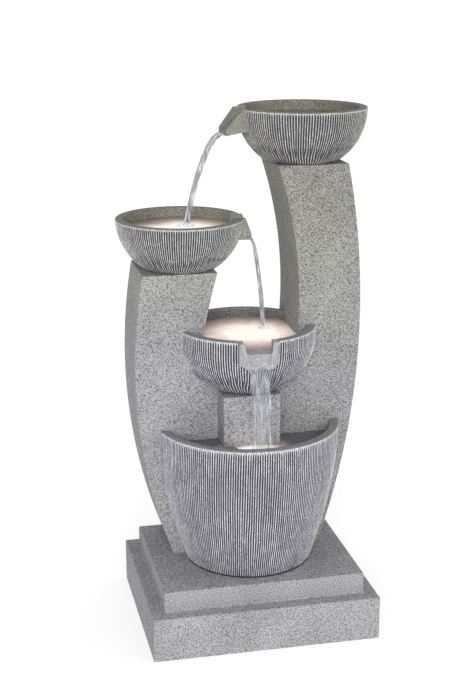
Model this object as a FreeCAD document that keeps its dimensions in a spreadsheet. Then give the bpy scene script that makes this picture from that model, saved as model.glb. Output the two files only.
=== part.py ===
import FreeCAD, Part
import math
import os
import Sketcher
from FreeCAD import Placement, Rotation, Vector

# A free-standing garden cascade of cast stone. Two curved pillars stand on a stepped plinth and carry
# the two upper bowls; a short column carries the middle bowl; the basin stands in front of the pillars.
# Water is pumped from a tub in the plinth to the top bowl and falls from bowl to bowl.
# Millimetres, +Z up, +X right, the front faces -Y. The origin is the middle of the plinth on the ground.

doc = FreeCAD.newDocument("Cascade")
sheet = doc.addObject("Spreadsheet::Sheet", "Dimensions")
pieces = []
rows = []


class Size:
    """A number that also carries its formula in the words of the sheet."""

    def __init__(self, value, formula):
        self.value = float(value)
        self.formula = formula

    def __add__(self, other):
        return joined(self, "+", other)

    def __radd__(self, other):
        return joined(other, "+", self)

    def __sub__(self, other):
        return joined(self, "-", other)

    def __rsub__(self, other):
        return joined(other, "-", self)

    def __mul__(self, other):
        return joined(self, "*", other)

    def __rmul__(self, other):
        return joined(other, "*", self)

    def __truediv__(self, other):
        return joined(self, "/", other)

    def __rtruediv__(self, other):
        return joined(other, "/", self)

    def __pow__(self, other):
        return joined(self, "^", other)

    def __rpow__(self, other):
        return joined(other, "^", self)

    def __neg__(self):
        return joined(0, "-", self)


WORK = {
    "+": lambda a, b: a + b,
    "-": lambda a, b: a - b,
    "*": lambda a, b: a * b,
    "/": lambda a, b: a / b,
    "^": lambda a, b: a**b,
}


def as_size(number):
    return number if isinstance(number, Size) else Size(number, f"{float(number):.6f}")


def joined(left, sign, right):
    left, right = as_size(left), as_size(right)
    return Size(WORK[sign](left.value, right.value), f"({left.formula} {sign} {right.formula})")


def root(number):
    return Size(math.sqrt(number.value), f"sqrt({number.formula})")


def named(word, value):
    """One row of the sheet: the name and its cell, which has the same alias."""
    rows.append(word)
    sheet.set(f"A{len(rows)}", word)
    sheet.set(f"B{len(rows)}", str(value))
    sheet.setAlias(f"B{len(rows)}", word)
    return Size(value, f"Dimensions.{word}")


# ---------------------------------------------------------------- sizes

plinth_width = named("plinth_width", 440)
plinth_depth = named("plinth_depth", 369)
lower_top = named("lower_step_top", 85.4)
upper_top = named("upper_step_top", 125.9)
step_side = named("step_side", 25.1)
step_front = named("step_front", 27.7)
step_back = named("step_back", 26.9)
edge_round = named("edge_round", 2.5)
stone = named("stone_wall", 13)
gap = named("joint_gap", 0.3)
slide_gap = named("sliding_gap", 0.6)

pillar_front = named("pillar_front", 12)
seam_x = named("pillar_seam", -45)
notch_floor = named("notch_floor", 462)
notch_round = named("notch_round", 40)
rebate = named("cover_rebate", 5)
cover_thick = named("cover_thickness", 8)
left_top = named("left_pillar_top", 693)
left_foot_x = named("left_foot_out", 147)
left_shoulder_x = named("left_shoulder_out", 199)
left_outer_bend = named("left_outer_bend", 1070)
left_lip_x = named("left_lip_out", 56)
left_waist_x = named("left_waist_out", 93)
left_inner_bend = named("left_inner_bend", 1065)
right_top = named("right_pillar_top", 891)
right_foot_x = named("right_foot_out", 150)
right_shoulder_x = named("right_shoulder_out", 198)
right_outer_bend = named("right_outer_bend", 1476)
right_lip_x = named("right_lip_out", 61)
right_waist_x = named("right_waist_out", 94)
right_inner_bend = named("right_inner_bend", 808)

hose_way_left = named("hose_way_left", 40)
hose_way_right = named("hose_way_right", 132)
hose_way_front = named("hose_way_front", 38)
hose_way_back = named("hose_way_back", 138)
cable_way_left = named("cable_way_left", -112)
cable_way_right = named("cable_way_right", -72)
cable_way_front = named("cable_way_front", 66)
cable_way_back = named("cable_way_back", 130)

column_width = named("column_width", 112)
column_front = named("column_front", -42)
column_wall = named("column_wall", 10)

bowl_height = named("bowl_height", 102)
bowl_rim = named("bowl_rim_radius", 124.7)
bowl_foot = named("bowl_foot_radius", 70)
bowl_bend = named("bowl_bend", 115)
bowl_wall = named("bowl_wall", 16)
middle_height = named("middle_bowl_height", 120)
middle_rim = named("middle_rim_radius", 135)
left_height = named("left_bowl_height", 95.4)
bowl_axis_y = named("upper_bowl_axis_back", 84)
top_bowl_x = named("top_bowl_axis_right", 124)
left_bowl_x = named("left_bowl_axis_left", 115)
middle_bowl_x = named("middle_bowl_axis_right", 6)
middle_bowl_y = named("middle_bowl_axis_back", 43)
top_spout_angle = named("top_spout_angle", 183)
left_spout_angle = named("left_spout_angle", 356)
middle_spout_angle = named("middle_spout_angle", 267.5)

bowl_toe = named("bowl_floor_inset", 8)
spout_inside = named("spout_inside", 22)
spout_bend_out = named("spout_bend_out", 2)
top_spout_reach = named("top_spout_reach", 32)
left_spout_reach = named("left_spout_reach", 14)
middle_spout_reach = named("middle_spout_reach", 16)
top_spout_drop = named("top_spout_drop", 37)
left_spout_drop = named("left_spout_drop", 32)
middle_spout_drop = named("middle_spout_drop", 35)
top_spout_half = named("top_spout_half_width", 35)
left_spout_half = named("left_spout_half_width", 27)
middle_spout_half = named("middle_spout_half_width", 37)
top_spout_tip = named("top_spout_tip_half_width", 27)
left_spout_tip = named("left_spout_tip_half_width", 20)
middle_spout_tip = named("middle_spout_tip_half_width", 24)
spout_depth = named("spout_depth", 42)
spout_tip_depth = named("spout_tip_depth", 12)
spout_side = named("spout_side_wall", 9)
spout_tip_side = named("spout_tip_side_wall", 5)
channel_depth = named("channel_depth", 20)
channel_fall = named("channel_fall", 2)
channel_tip_depth = named("channel_tip_depth", 9)

basin_height = named("basin_height", 259)
basin_rim = named("basin_rim_radius", 180)
basin_foot = named("basin_foot_radius", 122.6)
basin_rim_x = named("basin_rim_right", 9)
basin_rim_y = named("basin_rim_back", 41)
basin_foot_y = named("basin_foot_front", 8)
basin_swell = named("basin_swell", 1.75)
basin_wall = named("basin_wall", 18)
basin_floor = named("basin_floor", 15)

bolt = named("bolt_radius", 3)
bolt_head = named("bolt_head_radius", 5.5)
bolt_head_height = named("bolt_head_height", 4)
bolt_spread = named("bolt_spread", 30)
nut_height = named("nut_height", 5)
screw_bite = named("screw_bite", 9)

lamp = named("lamp_radius", 22)
lamp_height = named("lamp_height", 16)
lamp_stem = named("lamp_stem_radius", 5)
lens_height = named("lens_height", 4)
gasket_thick = named("gasket_thickness", 1.5)
lamp_cable = named("lamp_cable_radius", 2.2)
bracket_thick = named("bracket_thickness", 3)
bracket_top = named("bracket_top", 321)
lamp_way_z = named("column_lamp_way_height", 268)

base_thick = named("base_plate_thickness", 4)
tub_left = named("tub_left", 145)
tub_right = named("tub_right", 150)
tub_front = named("tub_front", 110)
tub_back = named("tub_back", 140)
tub_height = named("tub_height", 44)
tub_wall = named("tub_wall", 3)
door_x = named("door_middle", 40)
door_width = named("door_width", 210)
door_low = named("door_low", 12)
door_height = named("door_height", 54)
door_flange = named("door_flange", 9)
door_thick = named("door_flange_thickness", 4)
door_plug = named("door_plug_depth", 10)
door_grip = named("door_grip_radius", 14)

pump_x = named("pump_right", 90)
pump_y = named("pump_back_face", 86)
pump_width = named("pump_width", 56)
pump_depth = named("pump_depth", 52)
pump_height = named("pump_height", 48)
pump_foot = named("pump_foot_height", 5)
chamber = named("chamber_radius", 15.5)
chamber_depth = named("chamber_depth", 14)
rotor_bore = named("rotor_bore_radius", 9.6)
rotor_depth = named("rotor_bore_depth", 26)
shaft = named("shaft_radius", 1.5)
running = named("running_clearance", 0.05)
cover_depth = named("intake_cover_depth", 18)
cover_wall = named("intake_cover_wall", 2.5)
dial = named("dial_radius", 9)
dial_thick = named("dial_thickness", 6)
hose_out = named("hose_outer_radius", 8)
hose_in = named("hose_inner_radius", 6.2)
barb = named("barb_radius", 6)
barb_bore = named("barb_bore_radius", 4.2)
barb_length = named("barb_length", 22)

pipe_x = named("standpipe_left", 50)
pipe_y = named("standpipe_front", 75)
pipe = named("standpipe_radius", 13)
pipe_wall = named("standpipe_wall", 2)
pipe_top = named("overflow_level", 360)
box_back = named("junction_back", 120)
box_left = named("junction_left", 200)
box_width = named("junction_width", 40)
box_depth = named("junction_depth", 80)
box_height = named("junction_height", 30)
cable_hole = named("mains_hole_radius", 7)
cable_hole_x = named("mains_hole_left", 180)
cable_hole_z = named("mains_hole_height", 28)

doc.recompute()

# places that follow from the sizes
half_width = plinth_width / 2
half_depth = plinth_depth / 2
step_half = half_width - step_side
upper_front = step_front - half_depth
upper_back = half_depth - step_back
pillar_deep = upper_back - pillar_front
top_foot = right_top
left_foot = left_top
middle_rim_z = notch_floor + middle_height
tub_floor = base_thick + tub_wall
pump_low = tub_floor + pump_foot
pump_axis = pump_low + pump_height * 0.46
outlet_y = pump_y - chamber_depth / 2


# ---------------------------------------------------------------- helpers

def bind(thing, prop, number):
    """Sets a property, and ties it to the sheet where the number comes from there."""
    if isinstance(number, Size):
        thing.setExpression(prop, number.formula)
    elif "." not in prop:
        setattr(thing, prop, number)


def put(thing, place, turn=None):
    """Places a thing: place is (x, y, z), turn is (axis, degrees)."""
    values = [as_size(n).value for n in place]
    spin = Rotation(Vector(*turn[0]), as_size(turn[1]).value) if turn else Rotation()
    thing.Placement = Placement(Vector(*values), spin)
    for axis, number in zip("xyz", place):
        bind(thing, f"Placement.Base.{axis}", number)
    if turn and isinstance(turn[1], Size):
        bind(thing, "Placement.Rotation.Angle", turn[1])
    return thing


def keep(thing, label):
    """Marks a thing as one of the fountain's own pieces."""
    thing.Label = label
    pieces.append(thing)
    return thing


def new_body(label, place=(0, 0, 0), turn=None):
    return put(doc.addObject("PartDesign::Body", label), place, turn)


def new_sketch(body, plane, offset=0):
    """A sketch on one of the body's own planes, moved along the plane's normal."""
    sketch = body.newObject("Sketcher::SketchObject", body.Name + "_outline")
    found = [f for f in body.Origin.OriginFeatures if f.Role == plane]
    sketch.AttachmentSupport = (found[0], "")
    sketch.MapMode = "FlatFace"
    sketch.AttachmentOffset = Placement(Vector(0, 0, as_size(offset).value), Rotation())
    bind(sketch, "AttachmentOffset.Base.z", offset)
    return sketch


def constrain(sketch, kind, where, number):
    """One driving constraint, tied to the sheet. A zero coordinate lies on an axis instead."""
    size = as_size(number)
    if kind in ("DistanceX", "DistanceY") and abs(size.value) < 1e-9:
        axis = -2 if kind == "DistanceX" else -1
        sketch.addConstraint(Sketcher.Constraint("PointOnObject", *where, axis))
        return
    start = (-1, 1) if kind in ("DistanceX", "DistanceY") else ()
    index = sketch.addConstraint(Sketcher.Constraint(kind, *start, *where, size.value))
    if isinstance(number, Size):
        sketch.setExpression(f"Constraints[{index}]", number.formula)


def arc_between(first, last, radius):
    """The arc from first to last. A positive radius turns left on the way, a negative one right."""
    chord = last - first
    middle = (first + last) * 0.5
    rise = math.sqrt(radius**2 - (chord.Length / 2) ** 2)
    left = Vector(-chord.y, chord.x, 0).normalize()
    centre = middle + left * math.copysign(rise, radius)
    ends = (first, last) if radius > 0 else (last, first)
    angles = [math.atan2(p.y - centre.y, p.x - centre.x) for p in ends]
    return Part.ArcOfCircle(Part.Circle(centre, Vector(0, 0, 1), abs(radius)), *angles)


def arc_x(first, last, radius, z, side):
    """Where the arc from first to last, in X and Z, stands at height z. side is 1 right of its centre."""
    (ax, az), (bx, bz) = first, last
    dx, dz = bx - ax, bz - az
    chord = root(dx**2 + dz**2)
    turn = 1 if as_size(radius).value > 0 else -1
    rise = root(radius**2 - (chord / 2) ** 2) * turn
    centre_x = (ax + bx) / 2 - dz / chord * rise
    centre_z = (az + bz) / 2 + dx / chord * rise
    return centre_x + root(radius**2 - (z - centre_z) ** 2) * side


def outline(sketch, corners):
    """A closed outline of (x, y) or (x, y, radius). A radius makes the edge to the next corner an arc."""
    spots = [Vector(as_size(c[0]).value, as_size(c[1]).value, 0) for c in corners]
    ends = []
    for i, corner in enumerate(corners):
        first, last = spots[i], spots[(i + 1) % len(spots)]
        if len(corner) == 2:
            edge = sketch.addGeometry(Part.LineSegment(first, last))
            ends.append((edge, 1, 2))
            continue
        radius = as_size(corner[2])
        edge = sketch.addGeometry(arc_between(first, last, radius.value))
        ends.append((edge, 1, 2) if radius.value > 0 else (edge, 2, 1))
    for i, corner in enumerate(corners):
        edge, begin, finish = ends[i]
        following = ends[(i + 1) % len(ends)]
        sketch.addConstraint(Sketcher.Constraint("Coincident", edge, finish, following[0], following[1]))
    for (edge, begin, finish), corner in zip(ends, corners):
        constrain(sketch, "DistanceX", (edge, begin), corner[0])
        constrain(sketch, "DistanceY", (edge, begin), corner[1])
        if len(corner) == 3:
            turn = corner[2]
            constrain(sketch, "Radius", (edge,), turn if as_size(turn).value > 0 else -turn)
    return sketch


def rectangle(sketch, left, low, right, high):
    return outline(sketch, [(left, low), (right, low), (right, high), (left, high)])


def circles(sketch, centres, radius):
    for x, y in centres:
        middle = Vector(as_size(x).value, as_size(y).value, 0)
        ring = Part.Circle(middle, Vector(0, 0, 1), as_size(radius).value)
        edge = sketch.addGeometry(ring)
        constrain(sketch, "Radius", (edge,), radius)
        constrain(sketch, "DistanceX", (edge, 3), x)
        constrain(sketch, "DistanceY", (edge, 3), y)
    return sketch


def feature(body, kind, sketch, length, back=False):
    """A Pad or a Pocket of one sketch."""
    made = body.newObject("PartDesign::" + kind, f"{body.Name}_{kind.lower()}")
    made.Profile = sketch
    bind(made, "Length", length)
    made.Reversed = back
    sketch.Visibility = False
    return made


def turned(body, corners):
    """A body of revolution about its own Z axis, from half a section in X and Z."""
    sketch = outline(new_sketch(body, "XZ_Plane"), corners)
    made = body.newObject("PartDesign::Revolution", body.Name + "_turned")
    made.Profile = sketch
    made.ReferenceAxis = (sketch, ["V_Axis"])
    made.Angle = 360
    return body


def lofted(body, kind, sections):
    """A straight-sided loft through sketches."""
    made = body.newObject("PartDesign::" + kind, f"{body.Name}_{kind.lower()}")
    made.Profile = sections[0]
    made.Sections = sections[1:]
    made.Ruled = True
    return made


def rounded(body, radius, chosen):
    """Rounds the edges of the body that the test chooses."""
    doc.recompute()
    last = body.Tip
    names = [f"Edge{i + 1}" for i, edge in enumerate(last.Shape.Edges) if chosen(edge)]
    made = body.newObject("PartDesign::Fillet", body.Name + "_fillet")
    made.Base = (last, names)
    bind(made, "Radius", radius)
    return made


def block(name, low, high):
    """A Part box from its lowest to its highest corner."""
    made = put(doc.addObject("Part::Box", name), low)
    for prop, near, far in zip(("Length", "Width", "Height"), low, high):
        bind(made, prop, far - near)
    return made


AXES = {"x": ((0, 1, 0), 90), "y": ((1, 0, 0), -90), "z": None}


def rod(name, place, radius, length, axis="z"):
    """A Part cylinder that starts at place and runs along an axis."""
    made = put(doc.addObject("Part::Cylinder", name), place, AXES[axis])
    bind(made, "Radius", radius)
    bind(made, "Height", length)
    return made


def fused(name, shapes):
    made = doc.addObject("Part::MultiFuse", name)
    made.Shapes = shapes
    return made


def less(name, base, tools):
    """The base with the tools cut away."""
    made = doc.addObject("Part::Cut", name)
    made.Base = base
    made.Tool = tools[0] if len(tools) == 1 else fused(name + "_tools", tools)
    return made


def tube(name, place, outer, inner, length, axis="z"):
    return less(name, rod(name + "_outside", place, outer, length, axis),
                [rod(name + "_bore", place, inner, length, axis)])


def group(name, shapes):
    made = doc.addObject("Part::Compound", name)
    made.Links = shapes
    return made


def hex_nut(name, place, bore):
    """A hexagon nut round a bolt of that radius."""
    prism = put(doc.addObject("Part::Prism", name + "_hexagon"), place)
    prism.Polygon = 6
    bind(prism, "Circumradius", bore * 1.9)
    bind(prism, "Height", nut_height)
    return less(name, prism, [rod(name + "_thread", place, bore + running, nut_height)])


# ---------------------------------------------------------------- plinth

def flat_plate(body, left, front, right, back, low, height):
    sketch = rectangle(new_sketch(body, "XY_Plane", low), left, front, right, back)
    return feature(body, "Pad", sketch, height)


def make_plinth():
    body = new_body("plinth_casting")
    flat_plate(body, -half_width, -half_depth, half_width, half_depth, as_size(0), lower_top)
    flat_plate(body, -step_half, upper_front, step_half, upper_back, lower_top,
               upper_top - lower_top)
    rounded(body, edge_round, lambda edge: edge.BoundBox.ZMax > 1)
    sketch = rectangle(new_sketch(body, "XY_Plane"), stone - half_width, stone - half_depth,
                       half_width - stone, half_depth - stone)
    feature(body, "Pocket", sketch, lower_top - stone, back=True)
    sketch = rectangle(new_sketch(body, "XY_Plane"), stone - step_half, upper_front + stone,
                       step_half - stone, upper_back - stone)
    feature(body, "Pocket", sketch, upper_top - stone, back=True)
    tools = [
        block("door_opening", (door_x - door_width / 2, half_depth - stone * 2, door_low),
              (door_x + door_width / 2, half_depth + 1, door_low + door_height)),
        rod("mains_opening", (-cable_hole_x, half_depth - stone * 2, cable_hole_z),
            cable_hole, stone * 3, "y"),
        hose_way("plinth_hose_way", upper_top - stone * 2, upper_top + 1),
        cable_way("plinth_cable_way", upper_top - stone * 2, upper_top + 1),
        rod("plinth_drain_way", (-pipe_x, -pipe_y, upper_top - stone * 2),
            pipe + pipe_wall + slide_gap, stone * 3),
        rod("plinth_lamp_way", (0, -stone, upper_top - stone * 2), lamp_cable * 2, stone * 3),
    ]
    keep(less("plinth_cut", body, tools), "plinth")


def hose_way(name, low, high):
    """The opening that the riser hose and a lamp cable pass through, between plinth and right pillar."""
    return block(name, (hose_way_left, hose_way_front, low), (hose_way_right, hose_way_back, high))


def cable_way(name, low, high):
    """The opening for the left bowl's lamp cable."""
    return block(name, (cable_way_left, cable_way_front, low), (cable_way_right, cable_way_back, high))


def make_base():
    inside = half_width - stone - slide_gap
    deep = half_depth - stone - slide_gap
    keep(block("base", (-inside, -deep, as_size(0)), (inside, deep, base_thick)), "base_plate")


def make_door():
    low = (door_x - door_width / 2, half_depth, door_low)
    high = (door_x + door_width / 2, half_depth, door_low + door_height)
    plug = block("door_plug", (low[0] + slide_gap, half_depth - door_plug, low[2] + slide_gap),
                 (high[0] - slide_gap, half_depth + gap, high[2] - slide_gap))
    flange = block("door_flange_plate", (low[0] - door_flange, half_depth + gap, low[2] - door_flange),
                   (high[0] + door_flange, half_depth + gap + door_thick, high[2] + door_flange))
    grip = rod("door_grip_notch", (door_x, half_depth - gap, high[2] + door_flange), door_grip,
               door_thick * 2, "y")
    scoop = block("door_grip_scoop", (door_x - door_grip, half_depth - door_plug / 2, high[2] - door_grip),
                  (door_x + door_grip, half_depth + 1, high[2]))
    keep(less("door_cut", fused("door_blank", [plug, flange]), [grip, scoop]), "access_door")
    outer = rod("grommet_flange", (-cable_hole_x, half_depth + gap, cable_hole_z), cable_hole * 1.5,
                door_thick, "y")
    neck = rod("grommet_neck", (-cable_hole_x, half_depth - stone - 3, cable_hole_z),
               cable_hole - gap, stone + 4, "y")
    bore = rod("grommet_bore", (-cable_hole_x, half_depth - stone * 2, cable_hole_z), cable_hole / 2,
               stone * 4, "y")
    keep(less("grommet_cut", fused("grommet_blank", [outer, neck]), [bore]), "cable_grommet")


# ---------------------------------------------------------------- pillars

def pillar_outline(side, inset, low, floor=None):
    """The front outline of a pillar, inset from its edges. side is -1 for the left pillar, 1 for the right."""
    if side < 0:
        foot, shoulder, lip, waist = left_foot_x, left_shoulder_x, left_lip_x, left_waist_x
        outer, inner, high = left_outer_bend, left_inner_bend, left_top
        seam = seam_x - gap / 2 - inset
    else:
        foot, shoulder, lip, waist = right_foot_x, right_shoulder_x, right_lip_x, right_waist_x
        outer, inner, high = right_outer_bend, right_inner_bend, right_top
        seam = seam_x + gap / 2 + inset
    shelf = notch_floor - inset
    shoulder_arc = side * (outer - inset)
    inner_arc = -side * (inner + inset)
    notch_arc = -side * (notch_round + inset)
    return [
        (seam, low),
        (side * (foot - inset), low, shoulder_arc),
        (side * (shoulder - inset), high - inset),
        (side * (lip + inset), high - inset, inner_arc),
        (side * (waist + inset), notch_floor + notch_round, notch_arc),
        (side * (waist - notch_round), shelf),
        (seam, shelf),
    ]


def make_pillar(side, label, bowl_x, bowl_z, ways):
    """A hollow pillar, open at the back, with a cover that sits in a rebate."""
    def drawn(on_body, out, inset):
        return outline(new_sketch(on_body, "XZ_Plane", out), pillar_outline(side, inset, upper_top + inset))

    body = new_body(label + "_casting")
    feature(body, "Pad", drawn(body, -pillar_front, as_size(0)), pillar_deep, back=True)
    feature(body, "Pocket", drawn(body, -upper_back, stone), pillar_deep - stone, back=True)
    feature(body, "Pocket", drawn(body, -upper_back, rebate), cover_thick + gap, back=True)
    margin = (rebate + stone) / 2
    screw_spots = cover_screw_spots(side, margin)
    pilots = [rod(f"{label}_pilot_{i}", (x, upper_back - cover_thick - screw_bite, z), bolt / 2 + 0.02,
                  screw_bite + 1, "y") for i, (x, z) in enumerate(screw_spots)]
    tools = bolt_ways(label, bowl_x, bowl_axis_y, bowl_z) + ways + pilots
    keep(less(label + "_cut", body, tools), label)
    cover = new_body(label + "_back")
    feature(cover, "Pad", drawn(cover, -upper_back, rebate + slide_gap), cover_thick, back=False)
    holes = [rod(f"{label}_screw_way_{i}", (x, upper_back - cover_thick - 1, z), bolt / 2 + gap,
                 cover_thick + 2, "y") for i, (x, z) in enumerate(screw_spots)]
    keep(less(label + "_cover_cut", cover, holes), label + "_cover")
    return screw_spots


def cover_screw_spots(side, margin):
    """The screws sit over the casting's ledge: two at the foot, two at the top, one at the seam."""
    if side < 0:
        foot, shoulder, lip, high = left_foot_x, left_shoulder_x, left_lip_x, left_top
        seam = seam_x - gap / 2 - margin
    else:
        foot, shoulder, lip, high = right_foot_x, right_shoulder_x, right_lip_x, right_top
        seam = seam_x + gap / 2 + margin
    return [
        (side * (foot - margin * 3), upper_top + margin),
        (seam, upper_top + margin * 3),
        (seam, notch_floor - margin * 3),
        (side * (shoulder - margin * 3), high - margin),
        (side * (lip + margin * 3), high - margin),
    ]


def bolt_ways(label, x, y, z):
    """Clearance holes for a bowl's two bolts through the casting under it."""
    spots = [(x - bolt_spread, y), (x + bolt_spread, y)]
    return [rod(f"{label}_bolt_way_{i}", (px, py, z - stone * 2), bolt + gap, stone * 3)
            for i, (px, py) in enumerate(spots)]


def make_pillars():
    left_ways = [
        cable_way("left_pillar_cable_way", upper_top - 1, upper_top + stone * 2),
        rod("left_pillar_lamp_way", (-left_bowl_x, bowl_axis_y, left_top - stone * 2),
            lamp_stem + gap, stone * 3),
    ]
    left = make_pillar(-1, "left_pillar", -left_bowl_x, left_top, left_ways)
    right_ways = [
        hose_way("right_pillar_hose_way", upper_top - 1, upper_top + stone * 2),
        rod("right_pillar_riser_way", (top_bowl_x, bowl_axis_y, right_top - stone * 2),
            hose_out + gap, stone * 3),
        rod("right_pillar_lamp_way", (middle_bowl_x, middle_bowl_y, notch_floor - stone * 2),
            lamp_stem + gap, stone * 3),
    ]
    right_ways += bolt_ways("middle_bowl_shelf", middle_bowl_x, middle_bowl_y, notch_floor)
    right = make_pillar(1, "right_pillar", top_bowl_x, right_top, right_ways)
    screws = []
    for i, (x, z) in enumerate(left + right):
        head = rod(f"cover_screw_head_{i}", (x, upper_back, z), bolt, bolt / 2, "y")
        shank = rod(f"cover_screw_shank_{i}", (x, upper_back - cover_thick - screw_bite, z), bolt / 2,
                    cover_thick + screw_bite, "y")
        screws.append(fused(f"cover_screw_{i}", [head, shank]))
    keep(group("cover_screw_set", screws), "cover_screws")


def make_column():
    body = new_body("column_casting")
    half = column_width / 2
    low = upper_top + basin_floor
    flat_plate(body, -half, column_front, half, pillar_front, low, notch_floor - low)
    rounded(body, edge_round, lambda edge: edge.BoundBox.ZLength > 1
            and edge.BoundBox.YMax < pillar_front.value - 1)
    sketch = rectangle(new_sketch(body, "XY_Plane", low), column_wall - half, column_front + column_wall,
                       half - column_wall, pillar_front - column_wall)
    feature(body, "Pocket", sketch, notch_floor - low - column_wall, back=True)
    way = rod("column_lamp_way", (0, column_front - 1, lamp_way_z), lamp_cable * 2.4, column_wall + 2, "y")
    keep(less("column_cut", body, [way]), "centre_column")


# ---------------------------------------------------------------- bowls and spouts

def bowl_blank(name, place, height, rim, foot):
    """A turned bowl. Its outer side is one arc from foot to rim, and the inner side keeps the wall."""
    body = new_body(name, place)
    mouth = rim - bowl_wall
    return turned(body, [
        (as_size(0), as_size(0)),
        (foot, as_size(0), bowl_bend),
        (rim, height),
        (mouth, height, -(bowl_bend - bowl_wall)),
        (foot - bowl_toe, bowl_wall),
        (as_size(0), bowl_wall),
    ])


def spout_notch(name, x, y, rim_z, rim, angle, half):
    """The part of the bowl's wall that the spout takes up."""
    tool = block(name, (rim - spout_inside - gap, -half - gap, -spout_depth - gap),
                 (rim + spout_inside, half + gap, as_size(5)))
    return turned_about(tool, x, y, rim_z, angle)


def turned_about(thing, x, y, z, angle):
    """Moves a thing drawn about the origin to a bowl's axis, and turns it to the spout's angle."""
    holder = doc.addObject("Part::Compound", thing.Name + "_placed")
    holder.Links = [thing]
    return put(holder, (x, y, z), ((0, 0, 1), angle))


def floor_ways(label, x, y, z, stem):
    """The holes through a bowl's floor: two bolts and the stem at its middle."""
    spots = [(x - bolt_spread, y, bolt), (x + bolt_spread, y, bolt), (x, y, stem)]
    return [rod(f"{label}_floor_way_{i}", (px, py, z - 1), radius + gap, bowl_wall + 2)
            for i, (px, py, radius) in enumerate(spots)]


def make_spout(label, x, y, rim_z, rim, angle, half, tip_half, reach, drop):
    """A tapered channel that fills the notch in the wall and carries the water clear of the bowl."""
    body = new_body(label, (x, y, rim_z), ((0, 0, 1), angle))
    bend = rim + spout_bend_out
    stations = [
        (rim - spout_inside, half, as_size(-1), -spout_depth),
        (bend, half, as_size(-1), -spout_depth),
        (rim + reach, tip_half, -drop, -drop - spout_tip_depth),
    ]
    channel = [
        (rim - spout_inside - 1, half - spout_side, as_size(5), -channel_depth),
        (bend, half - spout_side, as_size(5), -channel_depth - channel_fall),
        (rim + reach + 1, tip_half - spout_tip_side, 5 - drop, -drop - channel_tip_depth),
    ]
    for kind, sections in (("AdditiveLoft", stations), ("SubtractiveLoft", channel)):
        drawn = [rectangle(new_sketch(body, "YZ_Plane", out), -half, low, half, high)
                 for out, half, high, low in sections]
        lofted(body, kind, drawn)
    keep(body, label)


def middle_room():
    """The space that the middle bowl may fill: in front of the pillars, and the notch between them."""
    front = block("room_in_front", (-middle_rim * 2, -middle_rim * 2, notch_floor),
                  (middle_rim * 2, pillar_front - gap, middle_rim_z + 10))
    body = new_body("room_between")
    high = middle_rim_z + 10
    waist = notch_floor + notch_round
    curve = notch_round - gap
    bend = notch_floor + gap
    left_high = arc_x((-left_lip_x, left_top), (-left_waist_x, waist), left_inner_bend, high, -1)
    right_high = arc_x((right_lip_x, right_top), (right_waist_x, waist), -right_inner_bend, high, 1)
    sketch = outline(new_sketch(body, "XZ_Plane"), [
        (gap - left_waist_x, waist, curve),
        (notch_round - left_waist_x, bend),
        (right_waist_x - notch_round, bend, curve),
        (right_waist_x - gap, waist, right_inner_bend - gap),
        (right_high - gap, high),
        (left_high + gap, high, left_inner_bend - gap),
    ])
    feature(body, "Pad", sketch, middle_rim * 2, back=True)
    return fused("middle_room", [front, body])


BOWLS = {
    "top": (top_bowl_x, bowl_axis_y, top_foot, bowl_height, bowl_rim, bowl_foot, hose_out),
    "left": (-left_bowl_x, bowl_axis_y, left_foot, left_height, bowl_rim - 2.3, bowl_foot, lamp_stem),
    "middle": (middle_bowl_x, middle_bowl_y, notch_floor + gap, middle_height - gap, middle_rim,
               bowl_foot + 5, lamp_stem),
}
SPOUTS = {
    "top": (top_spout_angle, top_spout_half, top_spout_tip, top_spout_reach, top_spout_drop),
    "left": (left_spout_angle, left_spout_half, left_spout_tip, left_spout_reach, left_spout_drop),
    "middle": (middle_spout_angle, middle_spout_half, middle_spout_tip, middle_spout_reach,
               middle_spout_drop),
}


def make_bowls():
    bolts, nuts = [], []
    for side, (x, y, foot_z, height, rim, foot, stem) in BOWLS.items():
        angle, half, tip_half, reach, drop = SPOUTS[side]
        rim_z = foot_z + height
        blank = bowl_blank(f"{side}_bowl_blank", (x, y, foot_z), height, rim, foot)
        if side == "middle":
            shaped = doc.addObject("Part::Common", "middle_bowl_shaped")
            shaped.Base = blank
            shaped.Tool = middle_room()
            blank = shaped
        tools = [spout_notch(f"{side}_spout_notch", x, y, rim_z, rim, angle, half)]
        tools += floor_ways(f"{side}_bowl", x, y, foot_z, stem)
        keep(less(f"{side}_bowl_cut", blank, tools), f"{side}_bowl")
        make_spout(f"{side}_spout", x, y, rim_z, rim, angle, half, tip_half, reach, drop)
        for i, px in enumerate((x - bolt_spread, x + bolt_spread)):
            head_z = foot_z + bowl_wall
            under = foot_z - stone - (gap if side == "middle" else 0)
            head = rod(f"{side}_bolt_head_{i}", (px, y, head_z), bolt_head, bolt_head_height)
            shank = rod(f"{side}_bolt_shank_{i}", (px, y, under - nut_height - 4), bolt,
                        head_z - under + nut_height + 4)
            bolts.append(fused(f"{side}_bolt_{i}", [head, shank]))
            nuts.append(hex_nut(f"{side}_bolt_nut_{i}", (px, y, under - nut_height), bolt))
    keep(group("bolt_set", bolts), "bowl_bolts")
    keep(group("bolt_nut_set", nuts), "bowl_nuts")


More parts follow.
